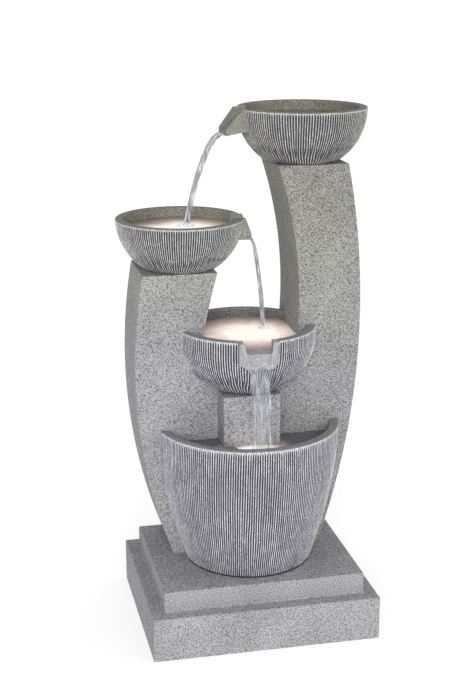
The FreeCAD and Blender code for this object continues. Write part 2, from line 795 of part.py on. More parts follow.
def make_basin():
    """A tall half vessel whose axis leans forward, flat where it meets the pillars."""
    body = new_body("basin_casting", (0, 0, upper_top))
    shares = [0, 0.13, 0.29, 0.5, 0.74, 1]

    def ring(share, thinner, height):
        radius = basin_foot + (basin_rim - basin_foot) * (1 - (1 - share) ** basin_swell) - thinner
        x = basin_rim_x * share
        y = basin_rim_y * share - basin_foot_y * (1 - share)
        return circles(new_sketch(body, "XY_Plane", height), [(x, y)], radius)

    lofted(body, "AdditiveLoft", [ring(s, 0, basin_height * s) for s in shares])
    floor_share = basin_floor.value / basin_height.value
    inner = [ring(floor_share, basin_wall, basin_floor)]
    inner += [ring(s, basin_wall, basin_height * s) for s in shares[1:]]
    lofted(body, "SubtractiveLoft", inner)
    behind = block("basin_behind", (-basin_rim * 2, pillar_front - gap, upper_top - 1),
                   (basin_rim * 2, basin_rim * 2, upper_top + basin_height + 1))
    tools = [
        behind,
        rod("basin_drain_way", (-pipe_x, -pipe_y, upper_top - 1), pipe + pipe_wall + slide_gap,
            basin_floor + 2),
        rod("basin_lamp_way", (0, -stone, upper_top - 1), lamp_cable * 2, basin_floor + 2),
    ]
    keep(less("basin_cut", body, tools), "basin")


# ---------------------------------------------------------------- drain and lamps

def make_drain():
    floor_z = upper_top + basin_floor
    under = upper_top - stone
    neck = pipe + pipe_wall
    collar = new_body("drain_collar", (-pipe_x, -pipe_y, floor_z))
    turned(collar, [
        (pipe + 0.1, under - floor_z - 14),
        (neck, under - floor_z - 14),
        (neck, as_size(gap)),
        (neck + 6, as_size(gap)),
        (neck + 6, gap + 4),
        (pipe + 0.1, gap + 4),
    ])
    keep(collar, "drain_collar")
    keep(hex_nut("drain_nut_cut", (-pipe_x, -pipe_y, under - nut_height), neck), "drain_nut")
    low = under - 10
    stand = tube("standpipe_tube", (-pipe_x, -pipe_y, low), pipe, pipe - pipe_wall, pipe_top - low)
    keep(stand, "standpipe")
    cap = new_body("cap_turned", (-pipe_x, -pipe_y, pipe_top))
    skirt = pipe + slide_gap
    turned(cap, [
        (as_size(0), as_size(8)),
        (skirt - 3, as_size(8)),
        (skirt - 3, as_size(gap)),
        (skirt, as_size(gap)),
        (skirt, as_size(-8)),
        (skirt + 2, as_size(-8)),
        (skirt + 2, as_size(8), as_size(4)),
        (skirt - 2, as_size(11)),
        (as_size(0), as_size(11)),
    ])
    slots = []
    for i in range(8):
        slot = block(f"cap_slot_{i}", (pipe - 4, as_size(-1.6), as_size(1)),
                     (pipe + 6, as_size(1.6), as_size(7)))
        slots.append(turned_about(slot, -pipe_x, -pipe_y, pipe_top, i * 45))
    keep(less("cap_cut", cap, slots), "strainer_cap")


def make_lamps():
    """Three sealed lamps: two stand on bowl floors, one on a bracket in front of the column."""
    bracket_y = column_front - lamp - 6
    under_bowl = bowl_wall + stone
    places = {
        "left": (-left_bowl_x, bowl_axis_y, left_foot + bowl_wall, under_bowl),
        "middle": (middle_bowl_x, middle_bowl_y, notch_floor + gap + bowl_wall, under_bowl + gap),
        "basin": (as_size(0), bracket_y, bracket_top, bracket_thick),
    }
    gaskets, nuts = [], []
    for side, (x, y, z, through) in places.items():
        seat = z + gasket_thick
        reach = through + gasket_thick + nut_height + 4
        body = new_body(f"{side}_lamp_housing", (x, y, seat))
        turned(body, [
            (lamp_cable + 0.1, -reach),
            (lamp_stem, -reach),
            (lamp_stem, as_size(0)),
            (lamp - 3, as_size(0), as_size(3)),
            (lamp, as_size(3)),
            (lamp, lamp_height),
            (lamp - 2, lamp_height),
            (lamp - 2, lamp_height - 3),
            (lamp - 5, lamp_height - 3),
            (lamp - 5, as_size(4)),
            (lamp_cable + 0.1, as_size(4)),
        ])
        keep(body, f"{side}_lamp_housing")
        lens = new_body(f"{side}_lamp_lens", (x, y, seat + lamp_height - 3 + gap))
        turned(lens, [
            (as_size(0), as_size(0)),
            (lamp - 2.3, as_size(0)),
            (lamp - 2.3, as_size(3), ((lamp - 2.3) ** 2 + (lens_height - 1) ** 2) / (lens_height * 2 - 2)),
            (as_size(0), lens_height + 2),
        ])
        keep(lens, f"{side}_lamp_lens")
        board = tube(f"{side}_lamp_board_ring", (x, y, seat + 6), lamp - 5.5, lamp_cable + 0.4,
                     as_size(1.6))
        turns = [i * math.pi / 3 for i in range(6)]
        chips = [rod(f"{side}_chip_{i}", (x + 10 * math.cos(turn), y + 10 * math.sin(turn), seat + 7.6),
                     as_size(2), as_size(1)) for i, turn in enumerate(turns)]
        keep(fused(f"{side}_lamp_board_set", [board] + chips), f"{side}_lamp_board")
        gaskets.append(tube(f"{side}_gasket", (x, y, z), lamp - 5, lamp_stem + gap, gasket_thick))
        nuts.append(hex_nut(f"{side}_lamp_nut", (x, y, z - through - nut_height), lamp_stem))
    keep(group("gasket_set", gaskets), "lamp_gaskets")
    keep(group("lamp_nut_set", nuts), "lamp_nuts")
    half = lamp + 2
    shelf = block("bracket_shelf", (-half, bracket_y - half, bracket_top - bracket_thick),
                  (half, column_front - gap, bracket_top))
    upright = block("bracket_upright", (-half * 0.7, column_front - gap - bracket_thick, bracket_top - 34),
                    (half * 0.7, column_front - gap, bracket_top))
    hole = rod("bracket_hole", (0, bracket_y, bracket_top - bracket_thick - 1), lamp_stem + gap,
               bracket_thick + 2)
    spots = [-9, 9]
    ways = [rod(f"bracket_screw_way_{i}", (x, column_front - gap - bracket_thick - 1, bracket_top - 22),
                bolt / 2 + gap, bracket_thick + 2, "y") for i, x in enumerate(spots)]
    keep(less("bracket_cut", fused("bracket_blank", [shelf, upright]), [hole] + ways), "basin_lamp_bracket")
    screws = []
    for i, x in enumerate(spots):
        front = column_front - gap - bracket_thick
        head = rod(f"bracket_screw_head_{i}", (x, front - bolt / 2, bracket_top - 22), bolt, bolt / 2, "y")
        shank = rod(f"bracket_screw_shank_{i}", (x, front, bracket_top - 22), bolt / 2,
                    bracket_thick + gap, "y")
        screws.append(fused(f"bracket_screw_{i}", [head, shank]))
    keep(group("bracket_screw_set", screws), "bracket_screws")


# ---------------------------------------------------------------- tub, pump and riser

def make_tub():
    outside = block("tub_outside", (-tub_left, -tub_front, base_thick),
                    (tub_right, tub_back, base_thick + tub_height))
    inside = block("tub_inside", (tub_wall - tub_left, tub_wall - tub_front, tub_floor),
                   (tub_right - tub_wall, tub_back - tub_wall, base_thick + tub_height + 1))
    keep(less("tub_cut", outside, [inside]), "reservoir_tub")


def make_pump():
    half = pump_width / 2
    front = pump_y - pump_depth
    top = pump_low + pump_height
    blank = fused("pump_blank", [
        block("pump_block", (pump_x - half, front, pump_low), (pump_x + half, pump_y, top)),
        rod("pump_boss", (pump_x, outlet_y, top), barb + 3, as_size(4)),
    ])
    tools = [
        rod("pump_chamber", (pump_x, pump_y - chamber_depth, pump_axis), chamber, chamber_depth + 1, "y"),
        rod("pump_rotor_bore", (pump_x, pump_y - chamber_depth - rotor_depth, pump_axis), rotor_bore,
            rotor_depth + 1, "y"),
        rod("pump_shaft_seat", (pump_x, pump_y - chamber_depth - rotor_depth - 4, pump_axis), shaft + 0.02,
            as_size(5), "y"),
        rod("pump_outlet_way", (pump_x, outlet_y, pump_axis), barb_bore, top - pump_axis + 5),
    ]
    keep(less("pump_cut", blank, tools), "pump_body")
    feet = []
    for i, (x, y) in enumerate([(-1, 0.2), (1, 0.2), (1, 0.8), (-1, 0.8)]):
        place = (pump_x + x * pump_width * 0.34, front + y * pump_depth, tub_floor)
        feet.append(rod(f"suction_foot_{i}", place, pump_foot, pump_foot))
    keep(group("suction_foot_set", feet), "pump_suction_feet")
    shaft_low = pump_y - chamber_depth - rotor_depth - 4
    keep(rod("shaft_rod", (pump_x, shaft_low + 0.5, pump_axis), shaft, pump_y - shaft_low + 3, "y"),
         "pump_shaft")
    keep(impeller(), "impeller")
    plate = rod("volute_disc", (pump_x, pump_y - 2, pump_axis), chamber - 0.2, as_size(2), "y")
    eye = rod("volute_eye", (pump_x, pump_y - 3, pump_axis), chamber * 0.45, as_size(4), "y")
    keep(less("volute_cut", plate, [eye]), "volute_plate")
    make_intake()
    make_outlet()


def impeller():
    """The magnet rotor with its disc and vanes, which turns on the fixed shaft."""
    disc_y = pump_y - chamber_depth + 1
    magnet_y = pump_y - chamber_depth - rotor_depth + 1
    parts = [
        rod("rotor_magnet", (pump_x, magnet_y, pump_axis), rotor_bore - slide_gap, rotor_depth - 1.5, "y"),
        rod("rotor_neck", (pump_x, magnet_y, pump_axis), shaft * 3, disc_y - magnet_y + 1, "y"),
        rod("rotor_disc", (pump_x, disc_y, pump_axis), chamber - 1.5, as_size(2), "y"),
    ]
    for i in range(6):
        vane = block(f"rotor_vane_{i}", (shaft + 1.5, as_size(0), as_size(-0.8)),
                     (chamber - 2, as_size(7), as_size(0.8)))
        holder = doc.addObject("Part::Compound", f"rotor_vane_{i}_placed")
        holder.Links = [vane]
        parts.append(put(holder, (pump_x, disc_y + 1.5, pump_axis), ((0, 1, 0), i * 60)))
    bore = rod("rotor_shaft_bore", (pump_x, magnet_y - 1, pump_axis), shaft + running, rotor_depth + 20, "y")
    return less("impeller_cut", fused("impeller_blank", parts), [bore])


def make_intake():
    """The slotted cover over the pump's inlet, with the flow dial on its face."""
    half = pump_width / 2 - 2
    near = pump_y + gap
    far = near + cover_depth
    low = pump_low + 2
    high = pump_low + pump_height - 2
    shell = block("intake_outside", (pump_x - half, near, low), (pump_x + half, far, high))
    hollow = block("intake_inside", (pump_x - half + cover_wall, near - 1, low + cover_wall),
                   (pump_x + half - cover_wall, far - cover_wall, high - cover_wall))
    stem = shaft + 0.5
    tools = [hollow, rod("dial_way", (pump_x, far - cover_wall - 1, pump_axis), stem + running,
                         cover_wall + 2, "y")]
    for i in range(5):
        z = low + 5 + i * 8
        for side in (-1, 1):
            x = pump_x + side * (dial + (half - dial) / 2)
            tools.append(block(f"intake_slot_{i}_{side + 1}", (x - 5, far - cover_wall - 1, z),
                               (x + 5, far + 1, z + 3)))
    keep(less("intake_cut", shell, tools), "pump_intake_cover")
    knob = rod("dial_disc", (pump_x, far + gap, pump_axis), dial, dial_thick, "y")
    post = rod("dial_stem", (pump_x, far - cover_wall - 2, pump_axis), stem, cover_wall + 3, "y")
    grips = []
    for i in range(12):
        turn = i * math.pi / 6
        place = (pump_x + dial * math.cos(turn), far + gap - 1, pump_axis + dial * math.sin(turn))
        grips.append(rod(f"dial_grip_{i}", place, as_size(1.2), dial_thick + 2, "y"))
    pointer = block("dial_pointer", (pump_x - 1, far + gap + dial_thick - 1, pump_axis + 2),
                    (pump_x + 1, far + gap + dial_thick + 1, pump_axis + dial - 2))
    keep(less("dial_cut", fused("dial_blank", [knob, post]), grips + [pointer]), "flow_dial")


def barbed(name, place, down, extra):
    """A turned hose tail with three teeth. down is -1 where the hose hangs below it."""
    body = new_body(name, place)
    step = barb_length / 3
    tail = []
    for i in range(3):
        tail.append((barb, down * (extra + step * i)))
        tail.append((barb - 1, down * (extra + step * (i + 1))))
    flange = barb + 3
    corners = [(barb_bore, as_size(0)), (flange, as_size(0)), (flange, down * extra)] + tail
    corners.append((barb_bore, down * (extra + barb_length)))
    return turned(body, corners)


def make_outlet():
    top = pump_low + pump_height + 4
    keep(barbed("pump_outlet_tail", (pump_x, outlet_y, top + gap), 1, as_size(3)), "pump_outlet")


HOSE_ROUTE = [(90, 79, 70), (90, 79, 114), (104, 88, 190), (134, 90, 300), (155, 88, 420), (163, 84, 540),
              (160, 82, 660), (143, 83, 765), (124, 84, 826), (124, 84, 866)]
LAMP_ROUTES = {
    "left_lamp_cable": [(-115, 84, 650), (-116, 86, 606), (-131, 96, 540), (-140, 104, 450), (-136, 110, 350),
                        (-118, 106, 262), (-100, 100, 190), (-96, 97, 130), (-104, 96, 96), (-132, 95, 78),
                        (-164, 93, 76), (-175, 92, 58), (-176, 92, 36.2)],
    "middle_lamp_cable": [(6, 43, 433), (7, 45, 400), (15, 62, 352), (34, 88, 296), (55, 102, 236),
                          (62, 114, 176), (60, 118, 128), (44, 118, 94), (10, 114, 80), (-42, 108, 77),
                          (-98, 100, 80), (-146, 84, 82), (-172, 74, 66), (-176, 72, 36.2)],
    "basin_lamp_cable": [(0, -70, 308), (0.4, -69, 293), (0, -60, 278), (0, -45, 269.5), (0.3, -28, 266),
                         (2, -17, 248), (1, -13, 205), (0, -13, 160), (-0.3, -13.4, 108), (-13, -9, 86),
                         (-40, 4, 79), (-84, 20, 78), (-132, 38, 80), (-168, 51, 68), (-175.5, 52, 50),
                         (-176, 52, 36.2)],
    "pump_cable": [(61.6, 60, 40), (50, 60.5, 41), (34, 62, 50), (14, 66, 60), (-24, 78, 62), (-76, 94, 61),
                   (-124, 106, 62), (-160, 111, 64), (-175, 112, 54), (-176, 112, 36.2)],
}


def swept(label, route, radius, bore=None):
    """A tube of straight runs joined by arcs that touch them."""
    spots = [Vector(*p) for p in route]
    edges, start, tightest = [], spots[0], 1e9
    for before, corner, after in zip(spots, spots[1:], spots[2:]):
        back, ahead = before - corner, after - corner
        short = min(back.Length, ahead.Length)
        back.normalize()
        ahead.normalize()
        half_turn = (math.pi - back.getAngle(ahead)) / 2
        tightest = min(tightest, 0.45 * short / math.tan(half_turn))
        first = corner + back * (0.45 * short)
        last = corner + ahead * (0.45 * short)
        towards = (back + ahead).normalize()
        bend = 0.45 * short / math.tan(half_turn)
        centre_away = math.hypot(bend, 0.45 * short)
        middle = corner + towards * (centre_away - bend)
        edges.append(Part.LineSegment(start, first).toShape())
        edges.append(Part.Arc(first, middle, last).toShape())
        start = last
    edges.append(Part.LineSegment(start, spots[-1]).toShape())
    path = Part.Wire(edges)
    way = (spots[1] - spots[0]).normalize()

    def skin(size):
        ring = Part.Wire([Part.Circle(spots[0], way, size.value).toShape()])
        return path.makePipeShell([ring], True, True)

    shape = skin(radius)
    area = radius.value**2
    if bore is not None:
        shape = shape.cut(skin(bore))
        area -= bore.value**2
    expected = math.pi * area * path.Length
    print(f"{label}: length {path.Length:.0f}, tightest bend {tightest:.0f}, volume ratio "
          f"{shape.Volume / expected:.4f}")
    made = doc.addObject("Part::Feature", label)
    made.Shape = shape
    made.Placement = Placement()
    keep(made, label)


def make_riser():
    """The hose inside the right pillar and the fitting that carries it through the top bowl's floor."""
    swept("riser_hose", HOSE_ROUTE, hose_out, hose_in)
    floor_z = top_foot + bowl_wall
    under = top_foot - stone
    seat = floor_z + gasket_thick
    body = new_body("riser_fitting_turned", (top_bowl_x, bowl_axis_y, seat))
    drop = seat - under
    step = barb_length / 3
    low = drop + nut_height + 4
    tail = []
    for i in range(3):
        tail.append((barb - 1, -low - step * (3 - i)))
        tail.append((barb, -low - step * (2 - i)))
    corners = [(barb_bore, -low - barb_length)] + tail + [
        (hose_out - 0.2, -low),
        (hose_out - 0.2, as_size(0)),
        (hose_out + 7, as_size(0)),
        (hose_out + 7, as_size(4)),
        (hose_out, as_size(4)),
        (hose_out, as_size(26), as_size(3)),
        (hose_out - 3, as_size(29)),
        (barb_bore, as_size(29)),
    ]
    keep(turned(body, corners), "riser_fitting")
    keep(tube("riser_washer_ring", (top_bowl_x, bowl_axis_y, floor_z), hose_out + 6, hose_out + gap, gasket_thick),
         "riser_washer")
    keep(hex_nut("riser_nut_cut", (top_bowl_x, bowl_axis_y, under - nut_height), hose_out), "riser_nut")
    clamps = []
    for name, place in (("low", (pump_x, outlet_y, pump_low + pump_height + 16)),
                        ("high", (top_bowl_x, bowl_axis_y, under - nut_height - 20))):
        band = tube(f"{name}_clamp_band", place, hose_out + 1.3, hose_out + gap, as_size(8))
        x, y, z = place
        ear = block(f"{name}_clamp_ear", (x + hose_out + 1, y - 4, z), (x + hose_out + 7, y + 4, z + 8))
        clamps.append(fused(f"{name}_clamp", [band, ear]))
    keep(group("clamp_set", clamps), "hose_clamps")


def make_wiring():
    for label, route in LAMP_ROUTES.items():
        swept(label, route, lamp_cable)
    low = (-box_left, box_back - box_depth, base_thick)
    high = (box_width - box_left, box_back, base_thick + box_height - 4)
    wall = as_size(2)
    inside = block("junction_inside", [n + wall for n in low[:2]] + [low[2] + wall],
                   [n - wall for n in high[:2]] + [high[2] + 1])
    keep(less("junction_cut", block("junction_outside", low, high), [inside]), "junction_box")
    lid = block("junction_lid_plate", (low[0], low[1], high[2]), (high[0], high[1], high[2] + 4))
    ways = [rod(f"lid_way_{i}", (-176, 52 + i * 20, high[2] - 1), lamp_cable + 0.1, as_size(6))
            for i in range(4)]
    keep(less("junction_lid_cut", lid, ways), "junction_lid")


# ---------------------------------------------------------------- build and write

make_plinth()
make_base()
make_door()
make_pillars()
make_column()
make_bowls()
make_basin()
make_drain()
make_lamps()
make_tub()
make_pump()
make_riser()
make_wiring()
doc.recompute()

failed = [thing.Name for thing in doc.Objects if {"Invalid", "Error"} & set(thing.State)]
if failed:
    raise RuntimeError(f"these objects failed: {failed}")
for thing in pieces:
    if thing.Shape.isNull() or not thing.Shape.isValid():
        raise RuntimeError(f"{thing.Label} has no valid shape")

os.makedirs("parts", exist_ok=True)
for thing in pieces:
    thing.Shape.exportStep(f"parts/{thing.Label}.step")
print(f"{len(pieces)} pieces written")
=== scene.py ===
# %% [markdown]
# # A cascading fountain in cast stone
# Four ribbed bowls hand water down to each other between two curved pillars. The pillars, the plinth and
# the pump are hard, plain shapes, so they come in ready made, and this lesson gives them their finish.
# The ribbed bowls, the water and the glow are the things that a plain model can't hold, so they are made
# here.

# %% Bring in the frame
import math

import bpy
import numpy as np
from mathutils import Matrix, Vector, noise


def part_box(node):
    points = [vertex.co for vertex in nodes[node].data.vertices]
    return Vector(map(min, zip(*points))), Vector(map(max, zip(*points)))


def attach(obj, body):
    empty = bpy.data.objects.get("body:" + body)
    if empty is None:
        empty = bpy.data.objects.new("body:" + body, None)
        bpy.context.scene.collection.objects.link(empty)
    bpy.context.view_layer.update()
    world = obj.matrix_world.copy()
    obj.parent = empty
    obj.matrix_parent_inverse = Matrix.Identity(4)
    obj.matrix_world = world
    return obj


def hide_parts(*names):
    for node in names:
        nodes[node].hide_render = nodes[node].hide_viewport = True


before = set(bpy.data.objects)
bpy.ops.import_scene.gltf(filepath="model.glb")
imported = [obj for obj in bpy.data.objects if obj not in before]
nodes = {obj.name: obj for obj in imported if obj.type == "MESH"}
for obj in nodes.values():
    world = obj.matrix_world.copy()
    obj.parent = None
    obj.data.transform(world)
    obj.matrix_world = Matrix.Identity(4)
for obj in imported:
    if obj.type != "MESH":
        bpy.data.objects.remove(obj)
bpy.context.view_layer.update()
print("pieces in the frame:", len(nodes))

# %% [markdown]
# ## Camera
# The fountain is looked down on a little, from a standing person's eye height and from its left. A long
# lens from a few paces away keeps the pillars upright, so the view is set by a place, two angles and a
# lens.

# %% Camera
EYE = (-0.5604, -2.4009, 1.2705)
TILT, TURN = 73.528, -12.507
LENS, FILM = 68.965, 36

scene = bpy.context.scene
lens_view = bpy.data.cameras.new("camera")
lens_view.lens = LENS
lens_view.sensor_width = FILM
camera = bpy.data.objects.new("camera", lens_view)
camera.location = EYE
camera.rotation_euler = (math.radians(TILT), 0, math.radians(TURN))
scene.collection.objects.link(camera)
scene.camera = camera
scene.view_settings.view_transform = "Standard"
print("camera", tuple(camera.location))

# %% [markdown]
# ## Nodes without the clicking
# A material is a small graph. Wiring it by hand takes three lines for each node, so one helper makes a
# node, sets its plain values and joins its links in one call. Where a value is a socket, it is linked.

# %% Helpers for materials
def add(tree, kind, inputs=None, **settings):
    made = tree.nodes.new("ShaderNode" + kind)
    for key, value in settings.items():
        setattr(made, key, value)
    for key, value in (inputs or {}).items():
        if isinstance(value, bpy.types.NodeSocket):
            tree.links.new(value, made.inputs[key])
        else:
            made.inputs[key].default_value = value
    return made


def ramp(tree, factor, *stops):
    """A colour ramp: each stop is a place from 0 to 1 and a grey, or three colours."""
    made = add(tree, "ValToRGB", {"Fac": factor})
    band = made.color_ramp
    while len(band.elements) < len(stops):
        band.elements.new(1.0)
    for element, (place, colour) in zip(band.elements, stops):
        element.position = place
        colour = colour if isinstance(colour, tuple) else (colour,) * 3
        element.color = (*colour, 1)
    return made.outputs["Color"]


def blend(tree, how, factor, first, second):
    """Mixes two colours. A is under, B is over."""
    made = add(tree, "Mix", data_type="RGBA", blend_type=how)
    sockets = {s.identifier: s for s in made.inputs}
    for name, value in (("Factor_Float", factor), ("A_Color", first), ("B_Color", second)):
        if isinstance(value, bpy.types.NodeSocket):
            tree.links.new(value, sockets[name])
        else:
            sockets[name].default_value = value
    return next(s for s in made.outputs if s.identifier == "Result_Color")


def new_material(name, **sockets):
    """A material with one Principled shader. Its even values are set on the shader's own sockets."""
    made = bpy.data.materials.new(name)
    made.use_nodes = True
    tree = made.node_tree
    shader = next(n for n in tree.nodes if n.type == "BSDF_PRINCIPLED")
    for key, value in sockets.items():
        shader.inputs[key.replace("_", " ")].default_value = value
    return made, tree, shader


def grain(tree, scale, detail=2.0, rough=0.6):
    """Even noise in the object's own space, in cells of about one metre divided by the scale."""
    place = add(tree, "TexCoord").outputs["Object"]
    made = add(tree, "TexNoise", {"Vector": place, "Scale": scale, "Detail": detail, "Roughness": rough})
    return made.outputs["Fac"]


def bumpy(tree, shader, height, strength, deep):
    """Makes the light see small heights that the mesh doesn't have."""
    made = add(tree, "Bump", {"Height": height, "Strength": strength, "Distance": deep})
    tree.links.new(made.outputs["Normal"], shader.inputs["Normal"])


print("material helpers ready")

# %% [markdown]
# ## Cast stone
# The casting is cement with crushed grit. Close up it is a pale paste with dark grains of 2 to 4 mm and
# small pits where air sat in the mould. Two noises at grit size give the grains, a wide soft noise gives
# the cloudy patches of a real casting, and the same grains drive the bump, so that a dark grain is also a
# small pit.

# %% Cast stone
GRIT = 440.0
FINE_GRIT = 760.0
CLOUD = 9.0


def height_tint(tree):
    """Cooler near the ground, and yellower and duller higher up."""
    place = add(tree, "TexCoord").outputs["Object"]
    high = add(tree, "SeparateXYZ", {"Vector": place}).outputs["Z"]
    return ramp(tree, high, (0.1, (0.98, 0.975, 1.02)), (0.5, (0.98, 0.98, 1.03)),
                (0.75, (0.93, 0.93, 0.87)), (0.92, (0.78, 0.78, 0.72)))


def stone_colour(tree, paste, grit):
    """The speckled colour and the height that goes with it."""
    coarse = grain(tree, GRIT, 3.0, 0.7)
    fine = grain(tree, FINE_GRIT, 2.0, 0.6)
    speckle = ramp(tree, coarse, (0.36, grit), (0.45, tuple(c * 0.72 for c in paste)),
                   (0.53, paste), (0.66, tuple(min(1.0, c * 1.32) for c in paste)))
    dust = ramp(tree, fine, (0.3, 0.62), (0.7, 1.25))
    cloudy = ramp(tree, grain(tree, CLOUD, 3.0, 0.5), (0.3, 0.88), (0.7, 1.1))
    colour = blend(tree, "MULTIPLY", 1.0, blend(tree, "MULTIPLY", 1.0, speckle, dust), cloudy)
    colour = blend(tree, "MULTIPLY", 1.0, colour, height_tint(tree))
    height = ramp(tree, coarse, (0.34, 0.0), (0.46, 0.8), (0.7, 1.0))
    return colour, blend(tree, "MULTIPLY", 0.5, height, dust)


def stone_material(name, paste, grit, pit=0.0006, roughness=0.86):
    made, tree, shader = new_material(name, Roughness=roughness)
    shader.inputs["Specular IOR Level"].default_value = 0.3
    colour, height = stone_colour(tree, paste, grit)
    tree.links.new(colour, shader.inputs["Base Color"])
    bumpy(tree, shader, height, 0.7, pit)
    return made


cast_stone = stone_material("cast_stone", (0.375, 0.375, 0.375), (0.06, 0.06, 0.065))
# Painted shade: a darker copy of cast stone for the right pillar, standing in for the shade on it.
shaded_stone = stone_material("shaded_stone", (0.34, 0.34, 0.33), (0.055, 0.055, 0.055))
spout_stone = stone_material("spout_stone", (0.3, 0.3, 0.275), (0.19, 0.19, 0.17), 0.0002, 0.7)
pale_stone = stone_material("pale_stone", (0.42, 0.42, 0.42), (0.26, 0.26, 0.26), 0.0002, 0.7)
rim_stone = stone_material("rim_stone", (0.28, 0.275, 0.28), (0.08, 0.078, 0.08), 0.0004)
wet_stone = stone_material("wet_stone", (0.3, 0.28, 0.25), (0.05, 0.045, 0.04), 0.0004, 0.5)
# Painted shade: a darker copy of wet stone for the middle bowl's inside, which lies in the shadow of the
# pillars and the bowl above.
shaded_wet_stone = stone_material("shaded_wet_stone", (0.17, 0.165, 0.155), (0.04, 0.038, 0.035), 0.0004, 0.5)
print("stones:", [m.name for m in bpy.data.materials])

# %% [markdown]
# ## Combed stone
# The bowls were combed while the casting was soft. The crests stay pale, and the grooves are painted dark as
# painted shade in the creases. The mesh knows how deep each point lies, and keeps it as an attribute called
# groove. The material reads that, so the painted shade can never slide off the ridges.

# %% Combed stone
# Painted shade: the near-black colour laid into the grooves and on the foot row.
GROOVE_SHADE = (0.036, 0.034, 0.044, 1)
DOWN_THE_SIDE = (1, 1, 0.06)
STREAK_SCALE = 240


def combed_material():
    """Pale crests, grooves darkened with painted shade, and streaks that are drawn out down the side."""
    made, tree, shader = new_material("combed_stone", Roughness=0.85)
    shader.inputs["Specular IOR Level"].default_value = 0.25
    colour, height = stone_colour(tree, (0.76, 0.755, 0.79), (0.5, 0.495, 0.52))
    depth = add(tree, "Attribute", attribute_name="groove").outputs["Fac"]
    groove_shade = ramp(tree, depth, (0.1, 0.0), (0.42, 0.86), (0.7, 1.0))
    place = add(tree, "TexCoord").outputs["Object"]
    drawn = add(tree, "VectorMath", {0: place, 1: DOWN_THE_SIDE}, operation="MULTIPLY").outputs["Vector"]
    noisy = {"Vector": drawn, "Scale": STREAK_SCALE, "Detail": 2.0}
    streaks = ramp(tree, add(tree, "TexNoise", noisy).outputs["Fac"], (0.36, 0.72), (0.62, 1.1))
    cloudy = ramp(tree, grain(tree, 30, 3.0), (0.35, 0.84), (0.6, 1.0))
    worn = blend(tree, "MULTIPLY", 1.0, colour, blend(tree, "MULTIPLY", 1.0, cloudy, streaks))
    # Painted shade: the colour is mixed towards near black by how deep the groove is.
    groove_shaded = blend(tree, "MIX", groove_shade, worn, GROOVE_SHADE)
    tree.links.new(groove_shaded, shader.inputs["Base Color"])
    bumpy(tree, shader, height, 0.5, 0.0005)
    return made


combed_stone = combed_material()
print("combed stone ready")

# %% [markdown]
# ## From points to a piece
# A turned or combed surface is a grid of points: each row is one ring, each column one line down the
# side. Numpy works out all the points at once, and one helper joins neighbours with four-sided faces.
# Rows and columns can each close on themselves, which makes a ring, a tube or a bowl with a hole in its
# floor.

# %% Grids into meshes
def grid_faces(rows, columns, close_rows, close_columns):
    r = np.arange(rows if close_rows else rows - 1)
    c = np.arange(columns if close_columns else columns - 1)
    r, c = (a.ravel() for a in np.meshgrid(r, c, indexing="ij"))
    up, on = (r + 1) % rows, (c + 1) % columns
    return np.column_stack([r * columns + c, r * columns + on, up * columns + on, up * columns + c])


def mesh_piece(name, points, faces, extra=(), smooth=True):
    """Links a mesh made of points, four-sided faces and some faces with any number of sides."""
    mesh = bpy.data.meshes.new(name)
    mesh.from_pydata(points.reshape(-1, 3).tolist(), [], [*faces.tolist(), *extra])
    mesh.validate()
    mesh.polygons.foreach_set("use_smooth", [smooth] * len(mesh.polygons))
    made = bpy.data.objects.new(name, mesh)
    scene.collection.objects.link(made)
    return made


def closed_tube(name, points):
    """A tube or a thick sheet: rings of points, and one face to close each end."""
    rows, columns = points.shape[:2]
    first, last = list(range(columns))[::-1], [(rows - 1) * columns + c for c in range(columns)]
    return mesh_piece(name, points, grid_faces(rows, columns, False, True), [first, last])


def keep_attribute(piece, name, values):
    made = piece.data.attributes.new(name, "FLOAT", "POINT")
    made.data.foreach_set("value", np.asarray(values, np.float32).ravel())


def finish_piece(piece, slot, *replaced, body="fountain"):
    """Every piece rides on a body and says which plain pieces it stands for, which are hidden. The slot it
    is given is not used.
    """
    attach(piece, body)
    if replaced:
        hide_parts(*replaced)
    print(piece.name, len(piece.data.polygons), "faces")
    return piece


def wander(points, size, seed):
    """Smooth noise from -1 to 1 at each point. size is the width of its waves, in metres."""
    shift = Vector((seed * 7.3, seed * 3.1, seed * 1.7))
    flat = points.reshape(-1, 3) / size
    found = [noise.noise(Vector(p) + shift) for p in flat.tolist()]
    return np.array(found).reshape(points.shape[:-1])


print("mesh helpers ready")

# %% [markdown]
# ## Measuring the plain bowls
# The combed bowls have to sit exactly where the plain ones are. A circle is fitted to the plain bowl's
# rim and foot. The fit keeps the points farthest from its middle and tries again, so the inner edge, a
# notch or a cut doesn't pull it aside.

# %% Measure circles
def corners(node):
    found = np.empty(len(nodes[node].data.vertices) * 3)
    nodes[node].data.vertices.foreach_get("co", found)
    return found.reshape(-1, 3)


FIT_ROUNDS = 8


def circle_at(node, height, near=0.0008, band=0.0015):
    """Middle and radius of the widest circle on a node at a height."""
    points = corners(node)
    points = points[abs(points[:, 2] - height) < near][:, :2]
    kept = points
    for _ in range(FIT_ROUNDS):
        table = np.column_stack([2 * kept, np.ones(len(kept))])
        x, y, rest = np.linalg.lstsq(table, (kept**2).sum(1), rcond=None)[0]
        away = np.hypot(points[:, 0] - x, points[:, 1] - y)
        kept = points[away > away.max() - band]
    return x, y, math.sqrt(rest + x * x + y * y)


def measured(node):
    low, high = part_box(node)
    foot, rim = circle_at(node, low.z), circle_at(node, high.z)
    print(node, "foot", np.round(foot, 4), "rim", np.round(rim, 4))
    return {"low": low.z, "high": high.z, "foot": foot, "rim": rim}

# %% [markdown]
# ## Combing
# A comb's teeth leave ridges side by side that drift together as the hand drifts, so the wander of each
# ridge comes from noise wider than a ridge. Lower down the bowl is narrower, and the ridges would crowd,
# so a second set with fewer ridges takes over there. Where the two sets meet, ridges fork and cross as
# they do in clay.

